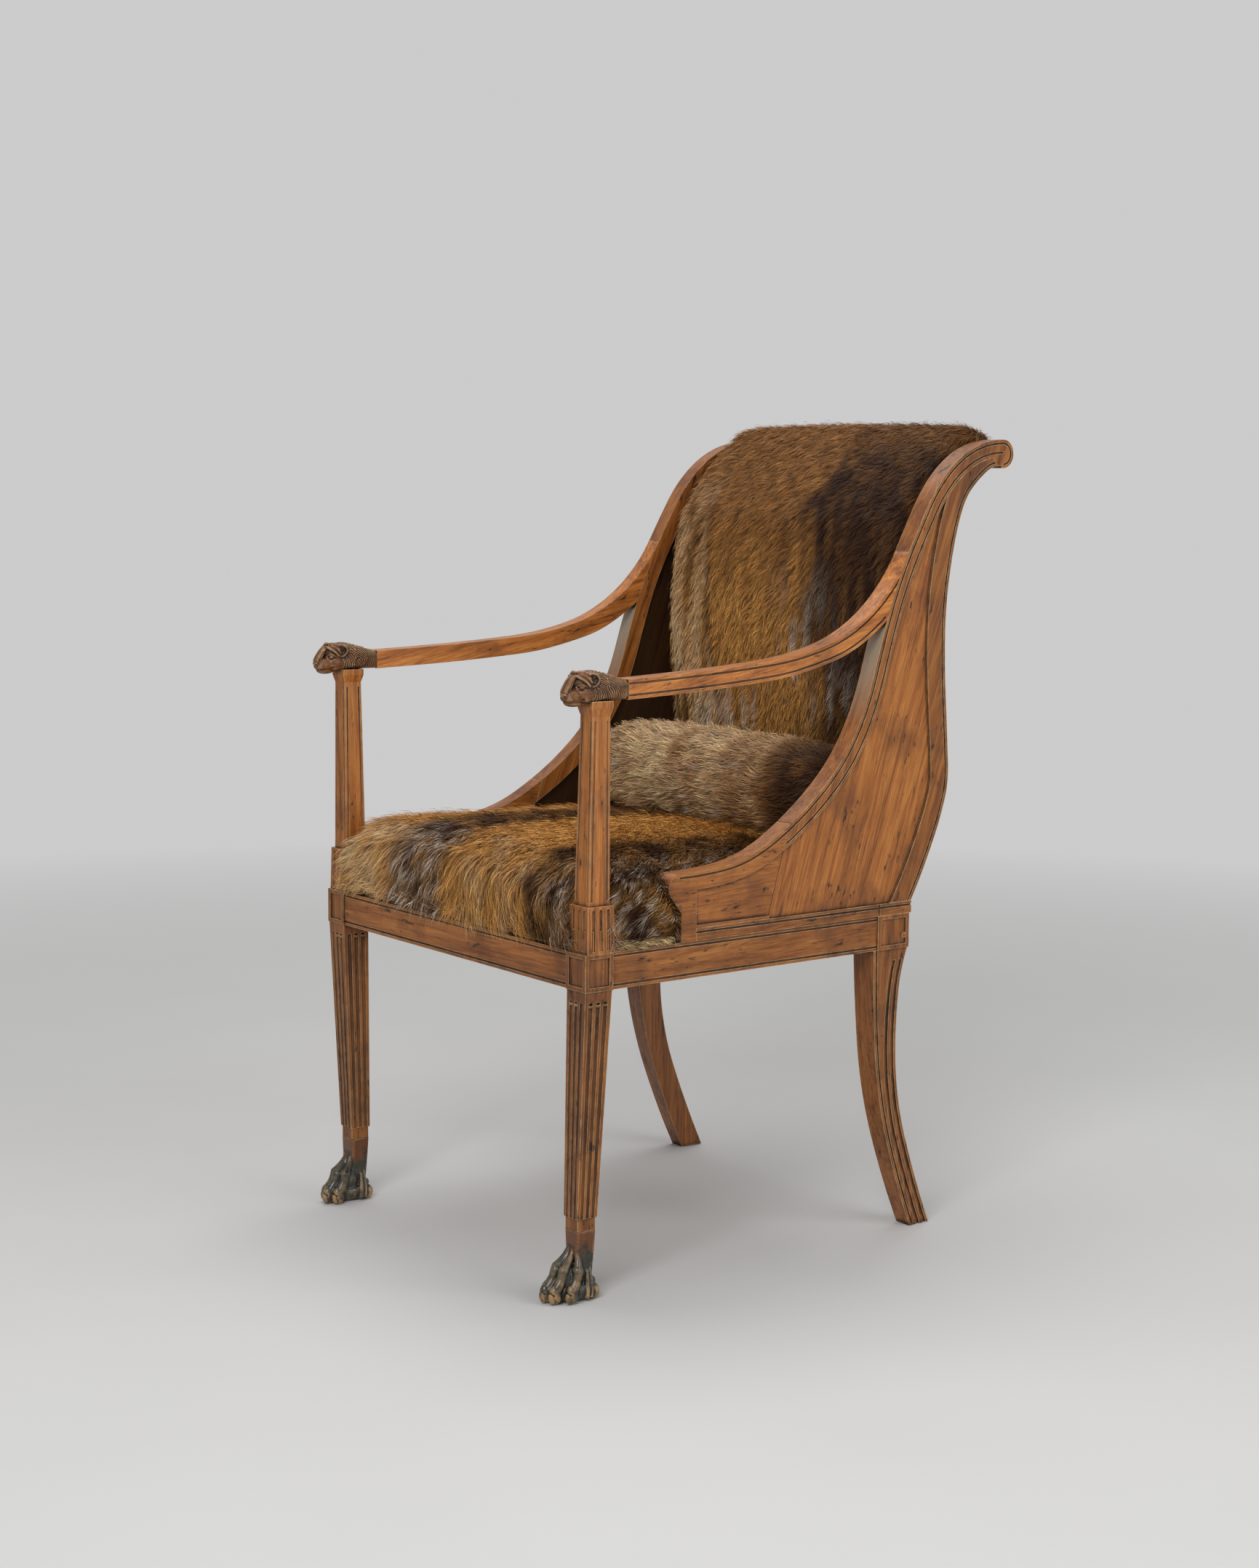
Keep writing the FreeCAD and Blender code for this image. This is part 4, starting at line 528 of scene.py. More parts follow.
def carve_pair(name, node, slot, finish, form, place):
    """Put a carved form and its mirror image in their places, with their relief stored at the points."""
    points, faces = form
    height = relief(points, faces).astype(np.float32)
    for label, hand in HANDS:
        turned = faces if hand > 0 else faces[:, ::-1]
        mesh = make_mesh(f"{name}_{label}", place(hand, points), NO_QUADS, turned)
        mesh.attributes.new("relief", "FLOAT", "POINT").data.foreach_set("value", height)
        make_piece(mesh.name, mesh, finish, "frame", slot, f"{node}_{label}")


# Lion heads


def on_arm(hand, points):
    """From (outward, forward, rise) about the top of an arm post to the frame, in metres."""
    outwards, forward, rise = points.T
    inward, run = ARM_INWARD - outwards, POST_RUN - forward
    x = HALF_WIDTH - inward * math.cos(SIDE_ANGLE) - run * math.sin(SIDE_ANGLE)
    y = run * math.cos(SIDE_ANGLE) - inward * math.sin(SIDE_ANGLE) + FRONT_BLOCK_Y
    return np.stack([hand * x, y, rise + ARM_TOP], -1) / 1000


MANE_FORWARD = (-34.5, -29, -20, -8, 4, 12, 17)
MANE_HALF_WIDE = (11.4, 11.6, 12.6, 13.8, 14.4, 13.8, 11.5)
MANE_LOW = (-21.2, -21.2, -21.2, -21.2, -21.2, -21.2, -19)
MANE_HIGH = (0.0, 0.5, 2.6, 6.2, 8.8, 9.6, 8.5)
EAR_FORWARD = 11.5

# Tiers of the mane: distance from the ear at which each starts and ends, strands in a full turn
MANE_TIERS = ((6.5, 18, 34), (18, 31, 54), (31, 60, 74))


def mane_section(forward):
    """Half width, low edge and high edge of the neck at places along the head."""
    return (np.interp(forward, MANE_FORWARD, edge) for edge in (MANE_HALF_WIDE, MANE_LOW, MANE_HIGH))


def mane_surface(angle, forward):
    """The neck under the mane: a rounded square section whose half sizes run along the head."""
    wide, low, high = mane_section(forward)
    across = np.sign(np.cos(angle)) * np.abs(np.cos(angle)) ** 0.62
    upward = np.sign(np.sin(angle)) * np.abs(np.sin(angle)) ** 0.62
    level = (high + low) / 2 + (high - low) / 2 * upward
    return np.stack(np.broadcast_arrays(wide * across, forward, level), -1)


def mane_height(points):
    """Height of the carved mane over the neck: strands fan out from the ears, each a rounded ridge.

    With reach the distance from the ear and heading the angle about it, a ridge follows the cosine of the
    heading plus a share of the reach, so that it sweeps down as it runs back, and a wave.  The tiers rise
    to their ends.
    """
    outwards, forward, rise = points.T
    wide, low, high = mane_section(forward)
    around = np.arctan2((2 * rise - high - low) / (high - low), np.abs(outwards) / wide)
    back, climb = EAR_FORWARD - forward, 13 * (around - 0.35)
    heading = np.arctan2(climb, back)
    reach = np.hypot(back, climb) + 1.2 * np.sin(heading * 11)
    height = np.zeros(len(points))
    for start, finish, strands in MANE_TIERS:
        phase = strands / 2 * (heading + 0.03 * reach) + 0.8 * np.sin(0.45 * reach + 2 * heading)
        proud = 0.2 + 1.3 * (reach - start) / (finish - start) + 1.1 * np.abs(np.cos(phase)) - 0.6
        height = np.where((reach >= start) & (reach < finish), proud, height)
    return height * step(forward, 16, 11) * step(rise, -21, -19) * step(forward, -34.5, -30)


def lion_shells():
    """Neck, skull, muzzle, nose, brows, eyes, ears and curls, as overlapping shells in millimetres."""
    angle = np.linspace(0, 2 * np.pi, 40, endpoint=False)[None]
    forward = np.linspace(MANE_FORWARD[0], MANE_FORWARD[-1], 24)[:, None]
    shells = [skin(mane_surface(angle, forward))]
    shells += [egg((0, 15, -4.5), (13.6, 16.5, 13.6)), egg((0, 30.2, -15.5), (11.4, 12.5, 9.0)),
               egg((0, 29.6, -22.6), (9.2, 10.5, 3.9)), egg((0, 24, -14), (12.2, 13, 10.5)),
               egg((0, 42.2, -13.6), (5.4, 2.4, 3.0), 20), egg((0, 19, 5.6), (9.5, 9, 5))]
    for side in (1, -1):
        shells += [strand([(side * 2.4, 23, 6.4), (side * 2.6, 31.6, 2.2), (side * 2.8, 37.8, -6),
                           (side * 2.6, 41.2, -11.8)], (3.0, 3.2, 3.4, 3.2)),
                   egg((side * 4.4, 35.4, -17), (5.4, 6.4, 5.4)), egg((side * 10, 20, -13.5), (4.4, 10, 8.0)),
                   egg((side * 10.4, 25.6, -5.4), (3.0, 3.3, 2.8)),
                   strand([(side * 7.6, 30.0, -4.6), (side * 11.0, 28.4, -2.6), (side * 13.4, 25.0, -3.0),
                           (side * 14.0, 21.8, -5.6)], (0.7, 1.2, 1.2, 0.7)),
                   strand([(side * 3.6, 30.4, 5.6), (side * 8.2, 28.2, 4.6), (side * 12.2, 22.8, 0.6),
                           (side * 13.9, 17.0, -5.4)], (1.3, 1.9, 1.9, 1.2)),
                   strand([(side * 4.2, 26, 7.0), (side * 8.4, 23.5, 6.4), (side * 11.4, 18.5, 3.2),
                           (side * 12.8, 13.5, -1)], (3.2, 3.2, 3.0, 2.6)),
                   strand([(side * 6.4, 31.2, -5.4), (side * 10.6, 27.6, -9.4), (side * 13.6, 21.4, -8.4)],
                          (0.8, 1.3, 0.9)),
                   strand([(side * 12.8, 15.0, 8.0), (side * 15.8, 10.8, 6.8), (side * 16.6, 8.2, 1.2),
                           (side * 15.6, 11.4, -4.2), (side * 13.8, 14.6, -5.6)], (1.1, 1.5, 1.7, 1.4, 0.9)),
                   egg((side * 13.6, 10, 1), (2.0, 4.2, 5.4))]
        for curl in smooth_run([(side * 1.8, 27.4, 8.8), (side * 7.6, 24, 9.2), (side * 12.4, 17, 7.4)], 6):
            shells.append(egg(curl, (1.8, 1.9, 1.7)))
    return shells


def carved_lion(name, grain):
    """The shells under one skin, the face softened, the mane raised, and the lines of the face pressed in."""
    rough = make_mesh(name, *joined(lion_shells()))
    points, faces = one_skin(rough, grain)
    points = relax(points, faces, 2)
    points += 0.7 * step(points[:, 1], 12, 17)[:, None] * (relax(points, faces, 8) - points)
    points += outward(relax(points, faces, 6), faces) * mane_height(points)[:, None]
    turn = np.linspace(0, 2 * np.pi, 40)[:, None]
    for side in (1, -1):
        mouth = smooth_run([(0, 41.5, -21.0), (side * 5.5, 40.5, -21.6), (side * 10, 34.5, -20.6),
                            (side * 12, 26.5, -19.6)], 30)
        points = scored(points, faces, mouth, 1.0, 1.5)
        points = scored(points, faces, [np.array((side * 12.2, 24.6, -19.8))], 2.2, 2.4)
        points = scored(points, faces, [np.array((side * 3.6, 43.6, -15.4))], 1.2, 1.4)
        points = scored(points, faces, [np.array((side * 15.0, 12.8, 1.6))], 2.8, 2.8)
        socket = (np.array((side * 11.8, 27.4, -5.2)) + 4.6 * np.cos(turn) * np.array((-0.6 * side, 0.8, 0))
                  + 3.5 * np.sin(turn) * np.array((0, 0, 1)))
        points = scored(points, faces, socket, 0.8, 1.3)
        ridge = smooth_run([(side * 5.8, 27, 4.0), (side * 6.2, 34, -1.6), (side * 6.4, 40, -10.2)], 24)
        points = scored(points, faces, ridge, 0.9, 1.0)
    groove = smooth_run([(0, 43.4, -17), (0, 43, -21)], 10)
    points = scored(points, faces, groove, 0.8, 0.8)
    on_cap = points[:, 1] < 13.5
    points[:, 2] = np.where(on_cap, np.maximum(points[:, 2], -21.0), points[:, 2])
    return relax(points, faces, 1, 0.3), faces


class FAUTEUIL_OT_lion_heads(bpy.types.Operator):
    """Carve the two lion heads at the ends of the arms."""
    bl_idname = "fauteuil.lion_heads"
    bl_label = "Lion heads"

    def execute(self, context):
        form = carved_lion("lion_form", context.scene.fauteuil_carving.grain * 1000)
        finish = walnut("walnut_carved", (0, 1, 0), 0.5, 0.7, True)
        carve_pair("lion_head_carved", "lion_head", "walnut", finish, form, on_arm)
        return {"FINISHED"}


# Paw feet


def on_floor(hand, points):
    """From (outward, run, rise) about a front foot to the frame, in metres."""
    outwards, run, rise = points.T
    return np.stack([hand * (FOOT_X + outwards), run + FRONT_BLOCK_Y, rise], -1) / 1000


def square_bar(levels, half, bend, corner=0.22):
    """A rounded square bar: at each level a superellipse of the given half width about a shifted centre."""
    angle = np.linspace(0, 2 * np.pi, 48, endpoint=False)
    cosine, sine = np.cos(angle), np.sin(angle)
    across = np.sign(cosine) * np.abs(cosine) ** corner
    along = np.sign(sine) * np.abs(sine) ** corner
    rings = [np.stack([size * across, shift + size * along, np.full(48, level)], -1)
             for level, size, shift in zip(levels, half, bend)]
    return skin(np.array(rings))


# Toes: sideways place, run of the tip, how far the knuckle stands back from the tip
TOES = ((-14.2, -15.5, 12.0), (-5.2, -23.5, 13.5), (6.2, -19.5, 13.0), (15.0, -4.0, 10.0))


def paw_shells():
    """Ankle, sole, toes with knuckles and tendons, and heel pads, as overlapping shells in millimetres."""
    shells = [square_bar((77, 70, 60, 50, 40, 30, 18), (12.5, 12.2, 11.8, 11.4, 11.2, 11.0, 10.0),
                         (18, 18, 17.9, 17.6, 17, 16.4, 15)),
              egg((0, 7, 12), (17.0, 24, 12.5)), egg((0, 4, 22), (14.5, 18, 20))]
    for sideways, tip, back in TOES:
        root = np.array((sideways * 0.42, 7.5, 58))
        knuckle = np.array((sideways * 0.86, tip + back, 35.0))
        end = np.array((sideways, tip + 1.5, 14.0))
        dip = (knuckle + end) / 2 + np.array((0, 1.8, 0.8))
        shells += [strand([root, (root + knuckle) / 2 + np.array((0, 1.5, 0)), knuckle, dip, end],
                          (2.0, 3.4, 5.8, 5.5, 6.2), 28, 12),
                   egg(knuckle, (6.0, 6.6, 6.2), -30),
                   egg(end + np.array((0, 0, -2.5)), (6.2, 7.4, 10.4), 12),
                   egg(end + np.array((0, -4.6, -6)), (4.2, 3.6, 6.8), 14)]
    for side in (1, -1):
        shells += [egg((side * 8.2, 29, 9), (7.2, 7.4, 9.0)), egg((side * 9.5, 26.5, 21), (4.2, 4.4, 5.0)),
                   strand([(side * 15.5, 16, 4), (side * 15, 17, 16), (side * 11.5, 19, 34)],
                          (3.2, 3.4, 1.5)),
                   strand([(side * 14.5, 22, 4), (side * 13.6, 23, 18), (side * 11, 23, 36)],
                          (3.0, 3.0, 1.2))]
    return shells


def carved_paw(name, grain):
    """The shells under one skin, softened, with deepened clefts, pressed nails and a flat sole."""
    rough = make_mesh(name, *joined(paw_shells()))
    points, faces = one_skin(rough, grain)
    points = relax(points, faces, 3)
    for (left, tip_left, _), (right, tip_right, _) in zip(TOES, TOES[1:]):
        middle, run = (left + right) / 2, max(tip_left, tip_right)
        cleft = smooth_run([(middle * 0.45, 7, 50), (middle * 0.8, run + 10, 34), (middle, run + 5, 18),
                            (middle, run + 3, 3)], 30)
        points = scored(points, faces, cleft, 1.6, 2.6)
    for sideways, tip, _ in TOES:
        nail = smooth_run([(sideways - 4.4, tip - 3, 12), (sideways, tip - 5.5, 14.5),
                           (sideways + 4.4, tip - 3, 12)], 20)
        points = scored(points, faces, nail, 0.9, 1.1)
    points[:, 2] = np.clip(points[:, 2], 0, 77)
    return relax(points, faces, 1, 0.3), faces


class FAUTEUIL_OT_paw_feet(bpy.types.Operator):
    """Carve the two paw feet under the front legs."""
    bl_idname = "fauteuil.paw_feet"
    bl_label = "Paw feet"

    def execute(self, context):
        form = carved_paw("paw_form", context.scene.fauteuil_carving.grain * 1600)
        finish = patina("paw_patina_worn")
        carve_pair("paw_foot_carved", "paw_foot", "paw_patina", finish, form, on_floor)
        return {"FINISHED"}


# Fur

# Heights in metres: where the fur of the seat starts, the roll over the crest, the middle of the cushion
SEAT_FUR_LEVEL = 0.386
CREST_LEVEL = 0.905
CUSHION_LEVEL = 0.513

# Facet size of the stuffed forms in metres, frames of the cloth simulation
FORM_FACET = 0.005
CLOTH_FRAMES = 20


def cloud(points, size, seed):
    """Smooth noise between about -1 and 1: a sum of sine waves that run in random directions."""
    rng = np.random.default_rng(seed)
    heading = rng.normal(size=(3, 14))
    heading /= np.linalg.norm(heading, axis=0)
    rate = 2 * np.pi / size * rng.uniform(0.6, 1.6, 14)
    return np.sin(points @ (heading * rate) + rng.uniform(0, 6.3, 14)).sum(1) / 4.2


def bell(values, middle, width):
    """A bump of height 1 about a middle value."""
    return np.exp(-((values - middle) / width) ** 2)


def layered(points, ground, coats):
    """Colours at points: a ground colour under coats, each a colour and its share at each point."""
    colour = np.tile(np.array(ground), (len(points), 1))
    for other, share in coats:
        share = np.clip(share, 0, 1)[:, None]
        colour = colour * (1 - share) + np.array(other) * share
    return colour


def back_pelt(points, fur):
    """Strips that run down: pale at the far side, gold in the middle, dark at the near side, silver below,
    and browner towards the top as painted shade.
    """
    x, z = points[:, 0], points[:, 2]
    warp = 0.02 * cloud(points, 0.16, 3)
    streak = cloud(points * np.array([1, 1, 0.16]), 0.03, 4)
    edge = -0.10 - 0.14 * (z - 0.6)
    far = step(x - edge, 0.004, -0.004) * step(z, 0.90, 0.78)
    near = step(x + 1.2 * warp + 0.022 * streak, 0.03, 0.11)
    grey = bell(x + 0.5 * warp, 0.07, 0.045) * step(z, 0.80, 0.64)
    low = step(z + warp, 0.66, 0.56)
    return layered(points, fur.gold, (
        (fur.brown, 0.38 + 0.34 * streak),
        # Browner above: painted shade towards the top of the back.
        (fur.brown, step(z, 0.70, 0.84) * 0.85),
        (fur.beige, far * (0.40 + 0.35 * streak)),
        (fur.dark, far * step(-streak, 0.2, 1.0) * 0.5),
        (fur.dark, bell(x, edge, 0.005) * step(z, 0.9, 0.75) * 0.6),
        (fur.dark, near * (0.86 + 0.2 * streak)),
        (fur.brown, step(z, 0.89, 0.93) * near * 0.6),
        (fur.silver, grey * step(streak, -0.1, 0.8) * 0.8),
        (fur.silver, low * step(streak, 0.1, 0.9) * 0.7),
        (fur.dark, low * step(-streak, 0.2, 1.0) * 0.55)))


def seat_pelt(points, fur):
    """Strips that run forward: gold at the far side, then dark, gold and dark, with silver in front."""
    run = points[:, 1] * 1000 - FRONT_BLOCK_Y
    place = points[:, 0] - 0.035 + 0.010 * cloud(points, 0.15, 6)
    drawn = points * np.array([1, 0.4, 0.4])
    streak = cloud(drawn, 0.026, 7)
    fleck = step(cloud(drawn, 0.008, 10), 0.0, 0.9)
    top = step(run, 20, 75)
    band = step(place, -0.16, -0.135) * step(place, -0.015, -0.045)
    gold = step(place, -0.05, -0.02) * step(place, 0.105, 0.075) * top
    front = step(place, -0.02, 0.02) * step(place, 0.14, 0.10) * (1 - top)
    near = step(place, 0.105 - 0.015 * top, 0.13 - 0.015 * top)
    return layered(points, fur.gold, (
        (fur.brown, 0.36 + 0.34 * streak),
        (fur.beige, step(place, -0.13, -0.18) * (1 - top) * (0.5 + 0.3 * streak)),
        (fur.dark, band * (0.82 + 0.16 * streak)),
        (fur.silver, band * (1 - top) * fleck * 0.9),
        (fur.gold, gold * 0.9),
        (fur.beige, front * (0.2 + 0.3 * streak)),
        (fur.dark, near * (0.78 + 0.18 * streak)),
        (fur.silver, step(place, 0.14, 0.18) * fleck * step(run, 300, 180) * 0.45)))


def cushion_pelt(points, fur):
    """Beige with soft brown bands across, dark at the near end and towards the back."""
    x, run = points[:, 0], points[:, 1] * 1000 - FRONT_BLOCK_Y
    place = x + 0.02 * cloud(points, 0.12, 8)
    streak = cloud(points * np.array([0.3, 1, 1]), 0.02, 9)
    return layered(points, fur.beige, (
        (fur.brown, 0.18 + 0.24 * streak),
        (fur.brown, 0.5 * bell(place, -0.02, 0.018) + 0.6 * bell(place, 0.075, 0.022)),
        (fur.brown, step(place, 0.08, 0.15) * 0.85),
        (fur.dark, step(place, 0.11, 0.18) * 0.9),
        (fur.dark, step(run, 405, 450) * 0.5),
        (fur.brown, step(cloud(points, 0.05, 14), 0.1, 0.9) * 0.5),
        (fur.silver, step(streak, 0.5, 1.4) * step(x, 0.11, 0.05) * 0.5)))


def plump(points):
    """Fill out the ends of a bolster: lengthen it, and widen it by the cube of the way from its middle."""
    middle = (points.min(0) + points.max(0)) / 2
    away = points - middle
    share = np.abs(away[:, :1] / away[:, 0].max()) ** 3
    return middle + away * (np.array([1.05, 1, 1]) + share * np.array([0, 0.2, 0.2]))


def snug(points):
    """Press the sides of the back against the stiles, and let its lower edge down on the seat."""
    drop = 0.016 * step(points[:, 2], 0.53, 0.46)
    return points * np.array([1.012, 1, 1]) - drop[:, None] * np.array([0, 0, 1])


def heaped(points):
    """Raise the top of the seat in front of the loose cushion, with steep shoulders."""
    run = points[:, 1] * 1000 - FRONT_BLOCK_Y
    rise = 0.011 * step(points[:, 2], 0.405, 0.447) * step(run, 350, 285)
    return points + rise[:, None] * np.array([0, 0, 1])


def stuffed(name, node, swell, shape):
    """A soft solid's copy under one even skin, swollen by cloth pressure.

    No point moves further than swell, none moves in, and what faces back stays where it is.
    """
    copy = NODES[node].data.copy()
    points, faces = one_skin(copy, FORM_FACET)
    points = relax(points, faces, 4)
    points = shape(points) if shape else points
    bpy.data.meshes.remove(copy)
    mesh = make_mesh(name, points, NO_QUADS, faces)
    cover = bpy.data.objects.new(name, mesh)
    scene = bpy.context.scene
    scene.collection.objects.link(cover)
    cloth = cover.modifiers.new("stuffing", "CLOTH")
    cloth.settings.quality = 4
    cloth.settings.mass = 0.3
    cloth.settings.use_pressure = True
    cloth.settings.uniform_pressure_force = 4
    cloth.settings.effector_weights.gravity = 0
    cloth.point_cache.frame_end = CLOTH_FRAMES
    for moment in range(1, CLOTH_FRAMES + 1):
        scene.frame_set(moment)
    swollen = bpy.data.meshes.new_from_object(cover.evaluated_get(bpy.context.evaluated_depsgraph_get()))
    moved, _ = read_mesh(swollen)
    scene.frame_set(1)
    bpy.data.objects.remove(cover)
    bpy.data.meshes.remove(swollen)
    bpy.data.meshes.remove(mesh)
    normal = outward(points, faces)
    shift = moved - points
    shift -= normal * np.minimum(np.einsum("ij,ij->i", shift, normal), 0)[:, None]
    shift *= 1 - step(normal[:, 1:2], 0.1, 0.5)
    size = np.linalg.norm(shift, axis=1, keepdims=True)
    return relax(points + shift * np.minimum(1, swell / np.maximum(size, 1e-9)), faces, 2), faces


def hairs(points, faces, weight, count, flow, rng):
    """Roots, directions and normals of locks spread over a form by area times weight."""
    a, b, c = (points[faces[:, corner]] for corner in range(3))
    flat = np.cross(b - a, c - a)
    area = np.linalg.norm(flat, axis=1)
    area = area * weight((a + b + c) / 3, flat / np.maximum(area, 1e-12)[:, None])
    total = np.cumsum(area)
    pick = np.searchsorted(total, rng.random(count) * total[-1])
    u, v = rng.random((2, count))
    u, v = np.where(u + v > 1, 1 - u, u)[:, None], np.where(u + v > 1, 1 - v, v)[:, None]
    root = a[pick] * (1 - u - v) + b[pick] * u + c[pick] * v
    normal = outward(points, faces)[faces[pick]].mean(1)
    normal /= np.linalg.norm(normal, axis=1, keepdims=True)
    lean = flow(root, normal)
    lean = lean - normal * np.einsum("ij,ij->i", lean, normal)[:, None]
    lean /= np.maximum(np.linalg.norm(lean, axis=1, keepdims=True), 1e-9)
    return root, normal, lean


def headings(across, back, rise):
    """Rows of directions from arrays or single numbers."""
    return np.stack(np.broadcast_arrays(across, back, rise), -1)


def hair_mesh(name, root, normal, lean, colour, settings, rng, stretch=1.0, hang=0.0):
    """Locks as tapered ribbons: each rises from its root, bends along the flow and narrows to its tip.

    Each lock has its own cell of a square grid as its UV map.
    """
    count = len(root)
    side = np.cross(lean, normal)
    tuft = cloud(root, 0.011, 21)[:, None]
    swirl = cloud(root, 0.045, 22)[:, None]
    heading = lean + side * (0.28 * swirl + 0.20 * tuft + rng.normal(0, 0.13, (count, 1)))
    heading /= np.linalg.norm(heading, axis=1, keepdims=True)
    long = settings.hair_long * stretch * np.clip(rng.normal(1, 0.26, (count, 1)), 0.45, 1.7)
    long *= 1 + hang * step(-normal[:, 1:2], 0.4, 0.9)
    lift = np.clip(0.25 + 0.10 * tuft + rng.normal(0, 0.13, (count, 1)), 0.05, 0.75)
    across = np.cross(heading, normal)
    roll = rng.normal(0, 0.55, (count, 1))
    across = across * np.cos(roll) + normal * np.sin(roll)
    half = across * (settings.hair_wide / 2 * rng.uniform(0.6, 1.35, (count, 1)))
    middle = root + long * (0.5 * heading + 0.85 * lift * normal)
    tip = root + long * (heading + lift * normal) - np.array([0, 0, 0.0012])
    corners = [root - half, root + half, middle + half * 0.8, middle - half * 0.8, tip]
    points = np.stack(corners, 1).reshape(-1, 3)
    first = np.arange(count)[:, None] * 5
    quads = first + np.array([[0, 1, 2, 3]])
    caps = first + np.array([[3, 2, 4]])
    mesh = make_mesh(name, points, quads, caps)
    cells = math.ceil(math.sqrt(count))
    cell = np.stack(np.divmod(np.arange(count), cells), -1)[:, None]
    spot = (cell + np.array([(0.1, 0.1), (0.9, 0.1), (0.9, 0.5), (0.1, 0.5), (0.5, 0.9)])) / cells
    spots = np.concatenate([spot[:, :4].reshape(-1, 2), spot[:, [3, 2, 4]].reshape(-1, 2)])
    mesh.uv_layers.new(name="OFBake").data.foreach_set("uv", spots.astype(np.float32).ravel())
    bright = np.clip(rng.normal(1, 0.38, (count, 1)) + 0.18 * tuft, 0.3, 2.2)
    # Roots darker and tips brighter: partly the hair's own darker underfur, partly painted shade between the
    # roots and painted light on the tips.
    shade = np.array([0.35, 0.35, 0.95, 0.95, 1.4])[None, :, None]
    tint = np.clip(colour[:, None] * bright[:, None] * shade, 0, 1)
    paint(mesh, tint.reshape(-1, 3))
    return mesh


def paint(mesh, colour):
    """Give each point of a mesh its own colour."""
    layer = mesh.color_attributes.new("pelt", "FLOAT_COLOR", "POINT")
    full = np.concatenate([colour, np.ones((len(colour), 1))], 1)
    layer.data.foreach_set("color", full.astype(np.float32).ravel())


def furred(label, node, slot, body, pelt, flow, weight, count, parts, stretch, hang=0.0, shape=None):
    """A padded form in the place of a soft solid, and its hair in several pieces."""
    settings = bpy.context.scene.fauteuil_fur
    rng = np.random.default_rng(SEED + len(label))
    points, faces = stuffed(f"{label}_form", node, settings.swell, shape)
    base = make_mesh(f"{label}_hide", points, NO_QUADS, faces)
    behind = step(outward(points, faces)[:, 1:2], 0.1, 0.5)
    paint(base, pelt(points, settings) * (0.55 - 0.52 * behind))
    hide = make_piece(base.name, base, pelt_finish(f"{label}_hide", 0.9), body, slot, node)
    finish = pelt_finish(f"{label}_hair", 0.5)
    root, normal, lean = hairs(points, faces, weight, count, flow, rng)
    colour = pelt(root, settings)
    for number, share in enumerate(np.array_split(np.arange(count), parts), 1):
        mesh = hair_mesh(f"{label}_hair_{number}", root[share], normal[share], lean[share], colour[share],
                         settings, rng, stretch, hang)
        make_piece(mesh.name, mesh, finish, body, slot)
    return hide


class FAUTEUIL_OT_seat_fur(bpy.types.Operator):
    """Cover the stuffed seat with fur that runs forward and hangs over the front rail."""
    bl_idname = "fauteuil.seat_fur"
    bl_label = "Seat fur"

    def execute(self, context):
        def flow(root, normal):
            return headings(2 * root[:, 0] + 0.2 * cloud(root, 0.2, 11), -1.0, -0.35)

        def weight(middle, facing):
            return np.where((middle[:, 2] > SEAT_FUR_LEVEL) & (facing[:, 2] > -0.6), 1.0, 0.05)

        count = context.scene.fauteuil_fur.seat_hairs
        furred("seat", "seat_pad", "fur_dark", "frame", seat_pelt, flow, weight, count, 3, 1.1,
               0.4, heaped)
        return {"FINISHED"}


class FAUTEUIL_OT_stuffing(bpy.types.Operator):
    """Let a fringe of straw stuffing show under the fur at the near side rail."""
    bl_idname = "fauteuil.stuffing"
    bl_label = "Stuffing"

    def execute(self, context):
        settings = context.scene.fauteuil_fur
        rng = np.random.default_rng(SEED)
        count = settings.straws
        run = rng.uniform(42, 112, count)
        inward = rng.uniform(2.5, 9, count)
        root = np.stack([HALF_WIDTH - inward - run * math.sin(SIDE_ANGLE), run + FRONT_BLOCK_Y,
                         rng.uniform(381, 387, count) - 0.4 * (9 - inward)], -1) / 1000
        normal = np.tile(np.array([0.8, 0, 0.6]), (count, 1))
        lean = headings(0.0, rng.choice([-1.0, 1.0], count), 0.0)
        tint = np.array(settings.straw) * rng.uniform(0.35, 1.25, (count, 1))
        mesh = hair_mesh("stuffing_fringe", root, normal, lean, tint, settings, rng, 0.6)
        make_piece(mesh.name, mesh, pelt_finish("stuffing_straw", 0.8), "frame", "hessian")
        return {"FINISHED"}


class FAUTEUIL_OT_back_fur(bpy.types.Operator):
    """Cover the stuffed back with fur that runs down from the crest."""
    bl_idname = "fauteuil.back_fur"
    bl_label = "Back fur"

    def execute(self, context):
        def flow(root, normal):
            behind = step(normal[:, 1], 0.1, 0.7)
            across = -0.25 - 0.6 * step(root[:, 2], 0.64, 0.80)
            return headings(across + 0.25 * cloud(root, 0.22, 12), -0.55 + 1.2 * behind, -1.0)

        def weight(middle, facing):
            behind = (facing[:, 1] > 0.3) & (middle[:, 2] < CREST_LEVEL)
            return np.where(behind | (facing[:, 2] < -0.7), 0.0, 1.0)

        count = context.scene.fauteuil_fur.back_hairs
        furred("back", "back_pad", "fur_dark", "frame", back_pelt, flow, weight, count, 3, 0.72,
               shape=snug)
        return {"FINISHED"}


